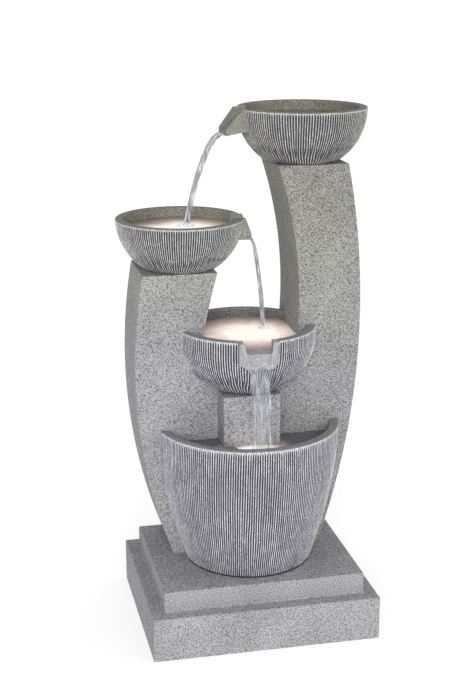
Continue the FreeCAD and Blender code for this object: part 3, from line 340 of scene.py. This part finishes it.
# %% Ridges
RIDGE_DEEP = 0.0019
RIDGE_SHAPE = 0.95
COLUMNS_PER_RIDGE = 6
FOOT_SHARE = 0.7
DRIFT_AT_RIM, DRIFT_LOWER, DRIFT_WAVE = 0.17, 0.6, 0.02
CHANGE_AT, CHANGE_SPREAD, CHANGE_WAVE, CHANGE_SOFT = 0.44, 0.2, 0.04, 0.25


def ridge(turns):
    """1 on a crest and 0 in a groove. A shape below 1 makes the crests a little broader than the grooves."""
    return (0.5 + 0.5 * np.cos(2 * np.pi * turns)) ** RIDGE_SHAPE


def faded(share, rim, foot):
    """1 on most of the face, falling to 0 over these shares at the rim and at the foot."""
    return np.clip((1 - share) / rim, 0, 1) * np.clip(share / foot, 0, 1)


def combing(points, along, share, count, seed):
    """Height of the combed face. along runs 0 to 1 round it, share from 0 at the foot to 1 at the rim."""
    slack = DRIFT_AT_RIM + DRIFT_LOWER * (1 - share) ** 1.6
    drift = slack * wander(points * (1, 1, 0.4), DRIFT_WAVE, seed)
    upper = ridge(count * along + drift)
    lower = ridge(round(count * FOOT_SHARE) * along + drift)
    patch = CHANGE_AT + CHANGE_SPREAD * wander(points, CHANGE_WAVE, seed + 5)
    change = np.clip((patch - share) / CHANGE_SOFT, 0, 1)
    return upper * (1 - change) + lower * change


print("ridges", RIDGE_DEEP * 1000, "mm deep")

# %% [markdown]
# ## The three round bowls
# A bowl's section is one arc outside, a rounded rim, and the same arc inside, thinner by the wall. Its
# rows run round that section and close through the hole in its floor, so the mesh is one closed skin, as
# the real casting is. The notch for the spout is then cut out of it, as the plain bowl has one.

# %% Bowl sections
BOWL_BEND = 0.115
BOWL_WALL = 0.016
FOOT_INSET = 0.008
FLOOR_HOLE = 0.006
RIM_ROUND = 0.0022
BOWL_ROWS, INSIDE_ROWS, RIM_STEPS = 46, 14, 5


def arc_points(start, end, bend, count):
    """Points on the arc of a radius from start to end, bulging to the right of the way it runs."""
    start, end = np.array(start), np.array(end)
    half = (end - start) / 2
    length = np.hypot(*half)
    side = np.array([-half[1], half[0]]) / length
    middle = start + half + side * math.sqrt(bend**2 - length**2)
    first, last = (math.atan2(*(p - middle)[::-1]) for p in (start, end))
    turn = np.linspace(first, last, count)
    return middle + bend * np.column_stack([np.cos(turn), np.sin(turn)])


def rim_points(outside, inside, high):
    """The rounded rim, from the outer side over the top to the inner side."""
    turn = np.linspace(0, math.pi / 2, RIM_STEPS)
    across, up = RIM_ROUND * np.cos(turn), RIM_ROUND * np.sin(turn)
    near = np.column_stack([outside - RIM_ROUND + across, high - RIM_ROUND + up])
    far = np.column_stack([inside + RIM_ROUND - up, high - RIM_ROUND + across])
    return np.vstack([near, far])


def bowl_section(foot, rim, height, rows=BOWL_ROWS):
    """Radius and height of each row, and how many of the rows are combed."""
    shoulder = height - RIM_ROUND
    outer = arc_points((foot, 0), (rim, shoulder), BOWL_BEND, rows)
    inner = arc_points((foot - FOOT_INSET, BOWL_WALL), (rim - BOWL_WALL, shoulder), BOWL_BEND - BOWL_WALL,
                       INSIDE_ROWS)
    parts = [outer, rim_points(rim, rim - BOWL_WALL, height), inner[::-1],
             [(FLOOR_HOLE, BOWL_WALL), (FLOOR_HOLE, 0)]]
    return np.vstack(parts), rows


print("bowl wall", BOWL_WALL * 1000, "mm")

# %% [markdown]
# ## Cutting
# The casting has notches where other parts pass. They could be left out of the grid point by point, but a
# solid tool that is taken away from the finished skin cuts clean walls at any angle, so that is used.

# %% Cutting with solid tools
def box_tool(low, high, turn=0.0, about=(0, 0)):
    """A block between two corners, turned about an upright axis. It's a tool, and is thrown away."""
    c = np.array([(x, y, z) for x in (low[0], high[0]) for y in (low[1], high[1])
                  for z in (low[2], high[2])])
    spin = np.array([[math.cos(turn), -math.sin(turn)], [math.sin(turn), math.cos(turn)]])
    c[:, :2] = c[:, :2] @ spin.T + about
    faces = np.array([(0, 1, 3, 2), (4, 6, 7, 5), (0, 4, 5, 1),
                      (2, 3, 7, 6), (0, 2, 6, 4), (1, 5, 7, 3)])
    return mesh_piece("tool", c, faces, smooth=False)


def applied(piece):
    """The piece's mesh with its modifiers worked in."""
    graph = bpy.context.evaluated_depsgraph_get()
    return bpy.data.meshes.new_from_object(piece.evaluated_get(graph))


def cut(piece, tool, solver="MANIFOLD"):
    """Takes the tool's shape out of the piece for good."""
    change = piece.modifiers.new("cut", "BOOLEAN")
    change.operation, change.solver, change.object = "DIFFERENCE", solver, tool
    shaped = applied(piece)
    piece.modifiers.clear()
    piece.data = shaped
    bpy.data.objects.remove(tool)


# %% Spout places
TIP_BAND = 0.0015


def spout_place(node, middle):
    """The way a spout points, where it starts and ends, its half width and its lip, from its bowl's axis."""
    points = corners(node) - (*middle, 0)
    angle = math.atan2(*points[:, 1::-1].mean(0))
    way = np.array([math.cos(angle), math.sin(angle)])
    side = np.array([-math.sin(angle), math.cos(angle)])
    out, wide = points[:, :2] @ way, points[:, :2] @ side
    tip = points[out > out.max() - TIP_BAND]
    print(node, "points at", round(math.degrees(angle), 1))
    return {"angle": angle, "way": way, "side": side, "start": out.min(), "end": out.max(),
            "half": abs(wide).max(), "lip": np.unique(tip[:, 2].round(4))}


# %% Outside, rim and inside
FACES_OVER_RIM = 8


def three_finishes(piece, row, combed, inside=wet_stone):
    """Combed outside, a plain rim, and a smoother inside, darker as wet stone is, or darker still where a
    painted-shade copy is given.
    """
    for material in (combed_stone, rim_stone, inside):
        piece.data.materials.append(material)
    which = np.where(row >= combed + FACES_OVER_RIM, 2, np.where(row >= combed + 1, 1, 0))
    piece.data.polygons.foreach_set("material_index", which.astype(np.int32))


# %% Make a round bowl
NOTCH_GAP, NOTCH_DEEP = 0.0006, 0.042
PAST_RIM, ABOVE_RIM = 0.03, 0.02


def round_bowl(side, count, seed, inside=wet_stone):
    """One combed bowl with its spout's notch, standing for the plain one."""
    node, size = f"{side}_bowl", measured(f"{side}_bowl")
    x, y, foot = size["foot"]
    rim = size["rim"][2]
    section, combed = bowl_section(foot, rim, size["high"] - size["low"])
    columns = count * COLUMNS_PER_RIDGE
    along = np.arange(columns) / columns
    turn = 2 * np.pi * along
    radius, height = section[:, :1], section[:, 1:] + size["low"]
    points = np.stack([x + radius * np.cos(turn), y + radius * np.sin(turn), height + 0 * turn], -1)
    share = np.linspace(0, 1, combed)[:, None]
    crest = combing(points[:combed], along[None, :], share, count, seed)
    depth = np.zeros(points.shape[:2])
    depth[:combed] = (1 - crest) * faded(share, 0.03, 0.02)
    outward = np.stack([np.cos(turn), np.sin(turn), 0 * turn], -1)
    points -= outward * (depth * RIDGE_DEEP)[..., None]
    faces = grid_faces(len(section), columns, True, True)
    piece = mesh_piece(f"{side}_bowl_combed", points, faces[:, ::-1])
    # A dark joint line with painted contact shadow: the bottom row at the foot is marked fully deep, so it
    # is painted near black.
    depth[0] = 1
    keep_attribute(piece, "groove", depth)
    three_finishes(piece, faces[:, 0] // columns, combed, inside)
    spout = spout_place(f"{side}_spout", (x, y))
    low = (spout["start"] - NOTCH_GAP, -spout["half"] - NOTCH_GAP, size["high"] - NOTCH_DEEP)
    high = (rim + PAST_RIM, spout["half"] + NOTCH_GAP, size["high"] + ABOVE_RIM)
    cut(piece, box_tool(low, high, spout["angle"], (x, y)))
    return piece, size, spout


# %% [markdown]
# ## The two upper bowls
# The top bowl and the left bowl are the same size, and their spouts point different ways. Each has its
# own number of ridges and its own seed, so the two don't look like copies.

# %% The two upper bowls
top_bowl, top_size, top_spout = round_bowl("top", 155, 1)
finish_piece(top_bowl, "ribbed_stone", "top_bowl")
left_bowl, left_size, left_spout = round_bowl("left", 170, 2)
finish_piece(left_bowl, "ribbed_stone", "left_bowl")

# %% [markdown]
# ## The middle bowl meets the pillars
# The middle bowl is set into the notch between the pillars, so the pillars' shapes are cut out of it.
# Copies of the pillars are welded first, because a frame's mesh has split corners and a cut needs a
# closed skin.

# %% Cut by neighbours
WELD_GAP = 0.00001


def weld_corners(piece):
    piece.modifiers.new("weld", "WELD").merge_threshold = WELD_GAP


def welded_copy(node):
    made = bpy.data.objects.new("tool", nodes[node].data.copy())
    scene.collection.objects.link(made)
    weld_corners(made)
    made.data = applied(made)
    made.modifiers.clear()
    return made


def cut_by(piece, *names):
    for name in names:
        cut(piece, welded_copy(name), "EXACT")


# The middle bowl's inside takes the darker wet stone, as painted shade.
middle_bowl, middle_size, middle_spout = round_bowl("middle", 168, 3, shaded_wet_stone)
cut_by(middle_bowl, "left_pillar", "right_pillar")
finish_piece(middle_bowl, "ribbed_stone", "middle_bowl")

# %% [markdown]
# ## The basin
# The basin is a tall vessel that leans forward as it widens, sliced flat where it stands against the
# pillars. Each ring is an arc with its own middle and radius, which runs from one end of the slice to the
# other, and the section closes over the floor. Two end faces close the slice.

# %% Basin rings
BASIN_WALL = 0.018
BASIN_FLOOR = 0.015
BASIN_SWELL = 1.75
BASIN_RIDGES = 112
BASIN_ROWS, BASIN_INSIDE_ROWS = 62, 16
BASIN_FOOT_SHARE = 0.45

basin_low, basin_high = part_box("basin")
back_plane = basin_high.y
rim_x, rim_y, rim_r = circle_at("basin", basin_high.z)
foot_x, foot_y, foot_r = circle_at("basin", basin_low.z)
basin_tall = basin_high.z - basin_low.z
print("basin rim", round(rim_r, 4), "foot", round(foot_r, 4))


def basin_ring(height):
    """Middle and outer radius of the basin at a height above its foot."""
    share = height / basin_tall
    radius = foot_r + (rim_r - foot_r) * (1 - (1 - share) ** BASIN_SWELL)
    return foot_x + (rim_x - foot_x) * share, foot_y + (rim_y - foot_y) * share, radius


def basin_arc(height, thinner, along):
    """Points on one ring, from the left end of the slice round the front to the right end."""
    x, y, radius = basin_ring(min(max(height, 0), basin_tall))
    radius -= thinner
    end = math.asin(np.clip((back_plane - y) / radius, -1, 1))
    turn = -math.pi - end + along * (math.pi + 2 * end)
    return np.stack([x + radius * np.cos(turn), y + radius * np.sin(turn),
                     0 * turn + basin_low.z + height], -1)


# %% Make the basin
def make_basin():
    rows = BASIN_ROWS
    along = np.linspace(0, 1, BASIN_RIDGES * COLUMNS_PER_RIDGE + 1)
    heights = np.linspace(0, basin_tall - RIM_ROUND, rows)
    outer = np.stack([basin_arc(high, 0, along) for high in heights])
    rim = np.stack([basin_arc(high, -out, along) for out, high in rim_points(0, -BASIN_WALL, basin_tall)])
    inner_heights = np.linspace(basin_tall - RIM_ROUND, BASIN_FLOOR, BASIN_INSIDE_ROWS)
    inner = np.stack([basin_arc(high, BASIN_WALL, along) for high in inner_heights])
    share = np.linspace(0, 1, rows)[:, None]
    combed_share = BASIN_FOOT_SHARE + (1 - BASIN_FOOT_SHARE) * share
    crest = combing(outer, along[None, :], combed_share, BASIN_RIDGES, 4)
    deep = (1 - crest) * faded(share, 0.025, 0.01)
    middle = np.array([basin_ring(h)[:2] for h in heights])[:, None, :]
    outward = outer[..., :2] - middle
    outward /= np.linalg.norm(outward, axis=-1, keepdims=True)
    outer[..., :2] -= outward * (deep * RIDGE_DEEP)[..., None]
    pole = np.array([foot_x, back_plane, 0.0])
    under = np.broadcast_to(pole + (0, 0, basin_low.z), outer[:1].shape)
    floor = np.broadcast_to(pole + (0, 0, basin_low.z + BASIN_FLOOR), outer[:1].shape)
    points = np.concatenate([under, outer, rim, inner, floor])
    points[..., 1] = np.minimum(points[..., 1], back_plane)
    total, columns = points.shape[:2]
    faces = grid_faces(total, columns, False, False)
    ends = [[r * columns for r in range(total)], [r * columns + columns - 1 for r in range(total)][::-1]]
    piece = mesh_piece("basin_combed", points, faces, ends)
    depth = np.zeros(points.shape[:2])
    depth[1:rows + 1] = deep
    # A dark joint line with painted contact shadow: the first outer row at the basin's foot is marked fully
    # deep, so it is painted near black.
    depth[1] = 1
    keep_attribute(piece, "groove", depth)
    three_finishes(piece, np.append(faces[:, 0] // columns, [rows + 3, rows + 3]), rows + 1)
    return piece


finish_piece(make_basin(), "ribbed_stone", "basin")

# %% [markdown]
# ## Soft edges on the castings
# Stone out of a mould never has a knife edge. The pillars and spouts keep their own meshes, and a bevel
# is laid over them as a modifier. Corners are welded first, then each edge that turns enough is rounded.

# %% Rounded castings
SPOUT_EDGE, PILLAR_EDGE, EDGE_TURN = 0.0016, 0.0022, 35


def rounded(width, *names):
    """Welds each piece's split corners, then rounds its sharp edges."""
    for name in names:
        weld_corners(nodes[name])
        bevel = nodes[name].modifiers.new("soft_edge", "BEVEL")
        bevel.width, bevel.segments, bevel.limit_method = width, 3, "ANGLE"
        bevel.angle_limit = math.radians(EDGE_TURN)
        bevel.use_clamp_overlap = True


def dress(material, *names):
    """Gives plain pieces a finish."""
    for name in names:
        nodes[name].data.materials.clear()
        nodes[name].data.materials.append(material)


rounded(SPOUT_EDGE, "top_spout", "left_spout", "middle_spout")
rounded(PILLAR_EDGE, "left_pillar", "right_pillar")
dress(spout_stone, "top_spout", "left_spout")
dress(pale_stone, "middle_spout")
dress(cast_stone, "plinth", "left_pillar", "centre_column")
# The right pillar takes the darker copy of cast stone, as painted shade.
dress(shaded_stone, "right_pillar")
print("castings dressed")

# %% [markdown]
# ## Water
# Water shows by what it reflects and by the light in it. Real glass shaders make every lamp below it
# noisy, so a thin film that lets light through is kinder: it is partly clear, glossy, and lit where the
# bubbles over a lamp scatter its light. That light is an attribute on the mesh, strongest over the lamp.

# %% Water materials
def pool_material(name, warm, tint, strength, shine=0.3):
    made, tree, shader = new_material(name, Roughness=0.1, IOR=1.33, Alpha=0.6)
    shader.inputs["Specular IOR Level"].default_value = shine
    shader.inputs["Base Color"].default_value = (*tint, 1)
    glow = add(tree, "Attribute", attribute_name="glow").outputs["Fac"]
    light = ramp(tree, glow, (0.05, 0.0), (0.3, tuple(c * 0.4 for c in warm)), (0.55, warm),
                 (0.75, (1.0, 0.98, 0.9)))
    tree.links.new(light, shader.inputs["Emission Color"])
    shader.inputs["Emission Strength"].default_value = strength
    bumpy(tree, shader, grain(tree, 60, 3.0), 0.25, 0.002)
    return made


def stream_material(name, alpha):
    made, tree, shader = new_material(name, Roughness=0.12, IOR=1.33, Alpha=alpha)
    streak = add(tree, "Attribute", attribute_name="streak").outputs["Fac"]
    tone = ramp(tree, streak, (0.3, (0.2, 0.21, 0.235)), (0.52, (0.42, 0.44, 0.48)), (0.75, 0.95))
    tree.links.new(tone, shader.inputs["Base Color"])
    return made


pale_pool = pool_material("lit_water", (0.86, 0.68, 0.58), (0.2, 0.195, 0.2), 0.95)
dark_pool = pool_material("still_water", (0.5, 0.5, 0.5), (0.2, 0.19, 0.18), 0.0)
rope_water = stream_material("rope_water", 0.66)
sheet_water = stream_material("sheet_water", 0.28)
print("water ready")

# %% [markdown]
# ## Pools
# Each pool is a thin closed sheet just inside its bowl. Rings spread over it from where the stream comes
# in and die out, and a finer noise breaks them up.

# %% Make a pool
WATER_BELOW_RIM = 0.018
WATER_GAP = 0.0003
POOL_THICK = 0.003
RIPPLE_HIGH, RIPPLE_WIDE, RIPPLE_REACH = 0.0011, 0.013, 0.045
CHURN_HIGH, CHURN_WIDE = 0.0005, 0.02


def inner_radius(size, level):
    """The round bowl's inner radius at a height."""
    foot, rim = size["foot"][2] - FOOT_INSET, size["rim"][2] - BOWL_WALL
    inside = arc_points((foot, size["low"] + BOWL_WALL), (rim, size["high"]), BOWL_BEND - BOWL_WALL, 40)
    return float(np.interp(level, inside[:, 1], inside[:, 0]))


def disc(middle, out, columns, level):
    """Flat rings of points round a middle. out holds each ring's radius."""
    turn = np.linspace(0, 2 * np.pi, columns, endpoint=False)
    return np.stack([middle[0] + out * np.cos(turn), middle[1] + out * np.sin(turn),
                     level + 0 * out * turn], -1)


def pool(name, middle, radius, level, splash, lamps, material):
    """A rippled sheet of water. Each lamp is a place, a width and a strength of glow."""
    flat = disc(middle, np.linspace(0.002, radius, 70)[:, None], 200, level)
    away = np.hypot(flat[..., 0] - splash[0], flat[..., 1] - splash[1])
    ripple = RIPPLE_HIGH * np.cos(away * 2 * np.pi / RIPPLE_WIDE) * np.exp(-away / RIPPLE_REACH)
    top = flat.copy()
    top[..., 2] += ripple + CHURN_HIGH * wander(flat, CHURN_WIDE, 8)
    points = np.concatenate([top, flat[::-1] - (0, 0, POOL_THICK)])
    piece = closed_tube(name, points)
    spot = points.reshape(-1, 3)
    glow = np.zeros(len(spot))
    for x, y, wide, strong in lamps:
        glow = np.maximum(glow, strong * np.exp(-((np.hypot(spot[:, 0] - x, spot[:, 1] - y) / wide) ** 2)))
    keep_attribute(piece, "glow", glow * (1 + 0.22 * wander(spot, 0.018, 3)))
    piece.data.materials.append(material)
    return piece


def bowl_pool(side, size, splash, lamps, material):
    """The pool of a round bowl, and its level."""
    level = size["high"] - WATER_BELOW_RIM
    radius = inner_radius(size, level) - WATER_GAP
    return pool(f"{side}_pool", size["foot"][:2], radius, level, splash, lamps, material), level


SPLASH_LEFT, SPLASH_MIDDLE, SPLASH_BASIN = (-0.101, 0.092), (0.0485, 0.07), (0.002, -0.108)
LEFT_GLOW = [(-0.105, 0.075, 0.066, 1.0), (-0.15, 0.08, 0.05, 0.7)]
MIDDLE_GLOW = [(0.018, 0.042, 0.084, 1.0), (-0.035, 0.03, 0.05, 0.66)]

made, _ = bowl_pool("top", top_size, top_size["foot"][:2], [], dark_pool)
finish_piece(made, "water")
made, left_level = bowl_pool("left", left_size, SPLASH_LEFT, LEFT_GLOW, pale_pool)
finish_piece(made, "water")
made, middle_level = bowl_pool("middle", middle_size, SPLASH_MIDDLE, MIDDLE_GLOW, pale_pool)
cut_by(made, "left_pillar", "right_pillar")
finish_piece(made, "water")

# %% [markdown]
# ## The basin's pool
# Water in the basin stands just above its overflow pipe. The pool is cut flat at the basin's back, and
# cut out round the column that stands in it, with the same block tools as the bowls' notches.

# %% Basin pool
OVER_THE_PIPE = 0.002
BASIN_GLOW = 0.05

basin_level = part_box("standpipe")[1].z + OVER_THE_PIPE
lamp_low, lamp_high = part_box("basin_lamp_lens")
lamp_spot = ((lamp_low.x + lamp_high.x) / 2, (lamp_low.y + lamp_high.y) / 2)
pool_x, pool_y, pool_r = basin_ring(basin_level - basin_low.z)
basin_water = pool("basin_pool", (pool_x, pool_y), pool_r - BASIN_WALL - WATER_GAP, basin_level,
                   SPLASH_BASIN, [(*lamp_spot, BASIN_GLOW, 1.0)], pale_pool)
cut(basin_water, box_tool((-1, back_plane, 0), (1, 1, 1)))
column_low, column_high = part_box("centre_column")
cut(basin_water, box_tool((column_low.x, column_low.y, 0), (column_high.x, 1, 1)))
finish_piece(basin_water, "water")

# %% [markdown]
# ## Falling water
# Water leaves a spout as a flat ribbon as wide as its channel. It speeds up as it falls, so it draws in
# to a rope, and it twists. The ribbon here is a closed tube along a thrown path. Its section is a flat
# oval with lobes, and the lobes turn as they go down, which gives the long streaks that falling water
# has.

# %% Make a stream
FALL_ROWS, LEAD_ROWS, TUBE_COLUMNS = 110, 24, 48
DRAW_IN = 1.6
SHAKE, SHAKE_WAVE, STREAK_WAVE = 0.0012, 0.008, 0.0035


def stream(name, lip, landing, start, end, across, seed, run, material):
    """A closed stream from a lip to its landing. start and end are half widths and half thicknesses."""
    share = np.linspace(0, 1, FALL_ROWS)
    path = lip + (landing - lip) * np.column_stack([share, share, share**2])
    lead = run + (lip - run) * np.linspace(0, 1, LEAD_ROWS, endpoint=False)[:, None]
    path = np.vstack([lead, path])
    fall = np.concatenate([np.zeros(LEAD_ROWS), share])[:, None]
    along = np.gradient(path, axis=0)
    along /= np.linalg.norm(along, axis=1, keepdims=True)
    side = np.array([*across, 0.0])
    side = side - along * (along @ side)[:, None]
    side /= np.linalg.norm(side, axis=1, keepdims=True)
    thick = np.cross(along, side)
    narrow = 1 - (1 - fall) ** DRAW_IN
    wide = start[0] + (end[0] - start[0]) * narrow
    deep = start[1] + (end[1] - start[1]) * narrow
    turn = np.linspace(0, 2 * np.pi, TUBE_COLUMNS, endpoint=False)[None, :]
    lobes = 1 + 0.16 * np.cos(7 * turn + 9 * fall + seed) + 0.1 * np.cos(4 * turn - 6 * fall)
    spread = (wide * np.cos(turn) * lobes)[..., None]
    depth = (deep * np.sin(turn) * lobes)[..., None]
    points = path[:, None, :] + side[:, None, :] * spread + thick[:, None, :] * depth
    shake = SHAKE * fall * wander(points * (1, 1, 0.35), SHAKE_WAVE, seed)
    points += side[:, None, :] * shake[..., None]
    piece = closed_tube(name, points)
    keep_attribute(piece, "streak", 0.5 + 0.5 * wander(points * (1, 1, 0.12), STREAK_WAVE, seed + 2))
    piece.data.materials.append(material)
    return finish_piece(piece, "water")


# %% Where streams start
STREAM_LIFT, STREAM_INSET, STREAM_BELOW_RIM = 0.0015, 0.001, 0.0185


def lip_of(size, spout):
    """The middle of a spout's channel at its end, and at its start."""
    x, y = size["foot"][:2]
    end = spout["way"] * (spout["end"] - STREAM_INSET)
    start = spout["way"] * (spout["start"] + STREAM_INSET)
    floor = spout["lip"][1] if len(spout["lip"]) > 2 else spout["lip"][0]
    print("channel floor", round(float(floor), 4))
    return (np.array([x + end[0], y + end[1], floor + STREAM_LIFT]),
            np.array([x + start[0], y + start[1], size["high"] - STREAM_BELOW_RIM]))


# %% Make a splash
def splash(name, place, level, wide, high, seed):
    """A low crown of churned water where a stream lands."""
    out = np.linspace(0.0005, 1, 26)[:, None]
    flat = disc(place, wide * out, 90, level)
    crown = high * np.exp(-((out - 0.45) / 0.28) ** 2) * (1 - out**4)
    top = flat.copy()
    top[..., 2] += crown * (1 + 0.75 * wander(flat, 0.005, seed)) + 0.0004
    points = np.concatenate([top, flat[::-1] - (0, 0, 0.001)])
    piece = closed_tube(name, points)
    keep_attribute(piece, "streak", 0.72 + 0.35 * wander(points, 0.003, seed))
    piece.data.materials.append(rope_water)
    return finish_piece(piece, "water")


# %% All the falling water
splash("left_splash", SPLASH_LEFT, left_level, 0.017, 0.006, 5)
splash("middle_splash", SPLASH_MIDDLE, middle_level, 0.014, 0.005, 6)
lip, run = lip_of(top_size, top_spout)
stream("top_stream", lip, np.array([*SPLASH_LEFT, left_level]), (0.02, 0.0018), (0.0075, 0.0045),
       top_spout["side"], 1, run, rope_water)
lip, run = lip_of(left_size, left_spout)
stream("left_stream", lip, np.array([*SPLASH_MIDDLE, middle_level]), (0.0145, 0.0018), (0.0062, 0.004),
       left_spout["side"], 2, run, rope_water)
lip, run = lip_of(middle_size, middle_spout)
stream("middle_stream", lip, np.array([lip[0] + 0.004, lip[1] - 0.004, basin_level]), (0.0185, 0.0018),
       (0.0155, 0.003), middle_spout["side"], 3, run, sheet_water)

# %% [markdown]
# ## The working parts
# The pump, the lamps and the plumbing are hidden from the front, but the fountain is also seen from
# behind and opened up. Each has the finish that its trade gives it: moulded plastic has a fine spark
# texture, steel is brushed, rubber is dull.

# %% Plain materials
PATCH_TO_GRAIN = 8


def plain(name, colour, roughness, scale, depth, tone=0.12, **sockets):
    """A moulded or turned material: a colour that varies a little and a fine texture in its surface."""
    made, tree, shader = new_material(name, Roughness=roughness, **sockets)
    varied = ramp(tree, grain(tree, scale / PATCH_TO_GRAIN), (0.3, tuple(c * (1 - tone) for c in colour)),
                  (0.7, tuple(min(1.0, c * (1 + tone)) for c in colour)))
    tree.links.new(varied, shader.inputs["Base Color"])
    bumpy(tree, shader, grain(tree, scale, 3.0), 0.4, depth)
    return made


finishes = {
    plain("grey_panel", (0.2, 0.2, 0.195), 0.65, 1400, 0.0003): ("left_pillar_cover", "right_pillar_cover"),
    plain("door_plastic", (0.13, 0.13, 0.13), 0.55, 1400, 0.0002): ("access_door",),
    plain("black_plastic", (0.016, 0.016, 0.018), 0.45, 1500, 0.0002): (
        "reservoir_tub", "pump_body", "volute_plate", "pump_intake_cover", "junction_box", "junction_lid",
        "impeller", "flow_dial", "pump_outlet", "base_plate"),
    plain("grey_fittings", (0.14, 0.145, 0.15), 0.4, 1300, 0.00015): (
        "riser_fitting", "riser_nut", "drain_collar", "drain_nut", "standpipe", "strainer_cap"),
    plain("lamp_case", (0.03, 0.03, 0.032), 0.28, 1800, 0.0001): (
        "left_lamp_housing", "middle_lamp_housing", "basin_lamp_housing", "lamp_nuts"),
    plain("lamp_circuit", (0.75, 0.74, 0.7), 0.35, 900, 0.0001): (
        "left_lamp_board", "middle_lamp_board", "basin_lamp_board"),
    plain("steel", (0.56, 0.56, 0.55), 0.32, 2200, 0.00005, 0.06, Metallic=1.0): (
        "cover_screws", "bowl_bolts", "bowl_nuts", "bracket_screws", "hose_clamps", "basin_lamp_bracket"),
    plain("ceramic", (0.8, 0.79, 0.76), 0.15, 2000, 0.00002): ("pump_shaft",),
    plain("rubber", (0.018, 0.018, 0.018), 0.8, 1600, 0.0002): (
        "pump_suction_feet", "lamp_gaskets", "riser_washer", "cable_grommet"),
    plain("cable_skin", (0.02, 0.02, 0.02), 0.6, 1200, 0.0001): (
        "left_lamp_cable", "middle_lamp_cable", "basin_lamp_cable", "pump_cable"),
    plain("hose_plastic", (0.6, 0.64, 0.64), 0.2, 900, 0.0001, Alpha=0.7): ("riser_hose",),
}
for material, names in finishes.items():
    dress(material, *names)
print("finishes", len(finishes))

# %% [markdown]
# ## Lit lenses
# Three lamps under water light the pools from below. The lens is the only part of a lamp that shines, so
# its own light is set on the shader and there's no need for a lamp object inside each housing.

# %% Lit lenses
LENS_GLOW = 14.0

lit_lens, lens_tree, lens_shader = new_material("lit_lens", Roughness=0.1, IOR=1.5)
lens_shader.inputs["Base Color"].default_value = (0.9, 0.88, 0.8, 1)
lens_shader.inputs["Emission Color"].default_value = (1.0, 0.86, 0.66, 1)
lens_shader.inputs["Emission Strength"].default_value = LENS_GLOW
bumpy(lens_tree, lens_shader, grain(lens_tree, 500), 0.2, 0.0002)
dress(lit_lens, "left_lamp_lens", "middle_lamp_lens", "basin_lamp_lens")
undressed = [n for n, o in nodes.items() if not (o.data.materials and o.data.materials[0])]
print("pieces with no finish:", undressed)

# %% [markdown]
# ## Floor
# A studio sweep is pale paper that runs past the edge of the view. A wide flat sheet does the same. It
# gives off a little light of its own, so it stays white without a lamp that would wash out the stone.

# %% Floor
FLOOR_HALF = 40
FLOOR_GLOW = 0.5

floor_mesh = bpy.data.meshes.new("floor")
edges = [(x * FLOOR_HALF, y * FLOOR_HALF, 0) for x, y in ((-1, -1), (1, -1), (1, 1), (-1, 1))]
floor_mesh.from_pydata(edges, [], [(0, 1, 2, 3)])
floor = bpy.data.objects.new("floor", floor_mesh)
scene.collection.objects.link(floor)
paper, paper_tree, paper_shader = new_material("floor_paper", Roughness=0.9)
paper_colour = ramp(paper_tree, grain(paper_tree, 3), (0.3, 0.62), (0.7, 0.64))
paper_tree.links.new(paper_colour, paper_shader.inputs["Base Color"])
paper_shader.inputs["Emission Color"].default_value = (1, 1, 1, 1)
paper_shader.inputs["Emission Strength"].default_value = FLOOR_GLOW
floor_mesh.materials.append(paper)
print("floor", 2 * FLOOR_HALF, "m wide")

# %% [markdown]
# ## Light
# The sky is brighter towards the front right, like a large soft box there, so the front faces are the
# brightest and the left sides fall off. A soft sun adds some shape. The camera itself sees plain white
# behind it all.

# %% Light
SKY_TOWARD, SKY_DIM, SKY_BRIGHT = (0.6, -0.45, 0.66), 0.42, 0.82
SUN_TOWARD, SUN_POWER, SUN_SPREAD = (-0.24, -1, 0.32), 2.0, 30

world = bpy.data.worlds.new("studio")
scene.world = world
world.use_nodes = True
sky = world.node_tree
sky.nodes.clear()
toward = add(sky, "VectorMath", {0: add(sky, "TexCoord").outputs["Generated"], 1: SKY_TOWARD},
             operation="DOT_PRODUCT")
bright = add(sky, "MapRange", {"Value": toward.outputs["Value"], "From Min": -0.6, "From Max": 0.9,
                               "To Min": SKY_DIM, "To Max": SKY_BRIGHT})
soft = add(sky, "Background", {"Color": (1, 1, 1, 1), "Strength": bright.outputs["Result"]})
white = add(sky, "Background", {"Color": (1, 1, 1, 1), "Strength": 1.0})
seen = add(sky, "LightPath").outputs["Is Camera Ray"]
both = add(sky, "MixShader", {0: seen, 1: soft.outputs[0], 2: white.outputs[0]})
add(sky, "OutputWorld", {"Surface": both.outputs[0]})

sun_light = bpy.data.lights.new("sun", "SUN")
sun_light.energy = SUN_POWER
sun_light.angle = math.radians(SUN_SPREAD)
sun = bpy.data.objects.new("sun", sun_light)
sun.rotation_euler = Vector(SUN_TOWARD).to_track_quat("Z", "Y").to_euler()
scene.collection.objects.link(sun)
print("sun", SUN_POWER, "sky", SKY_DIM, "to", SKY_BRIGHT)
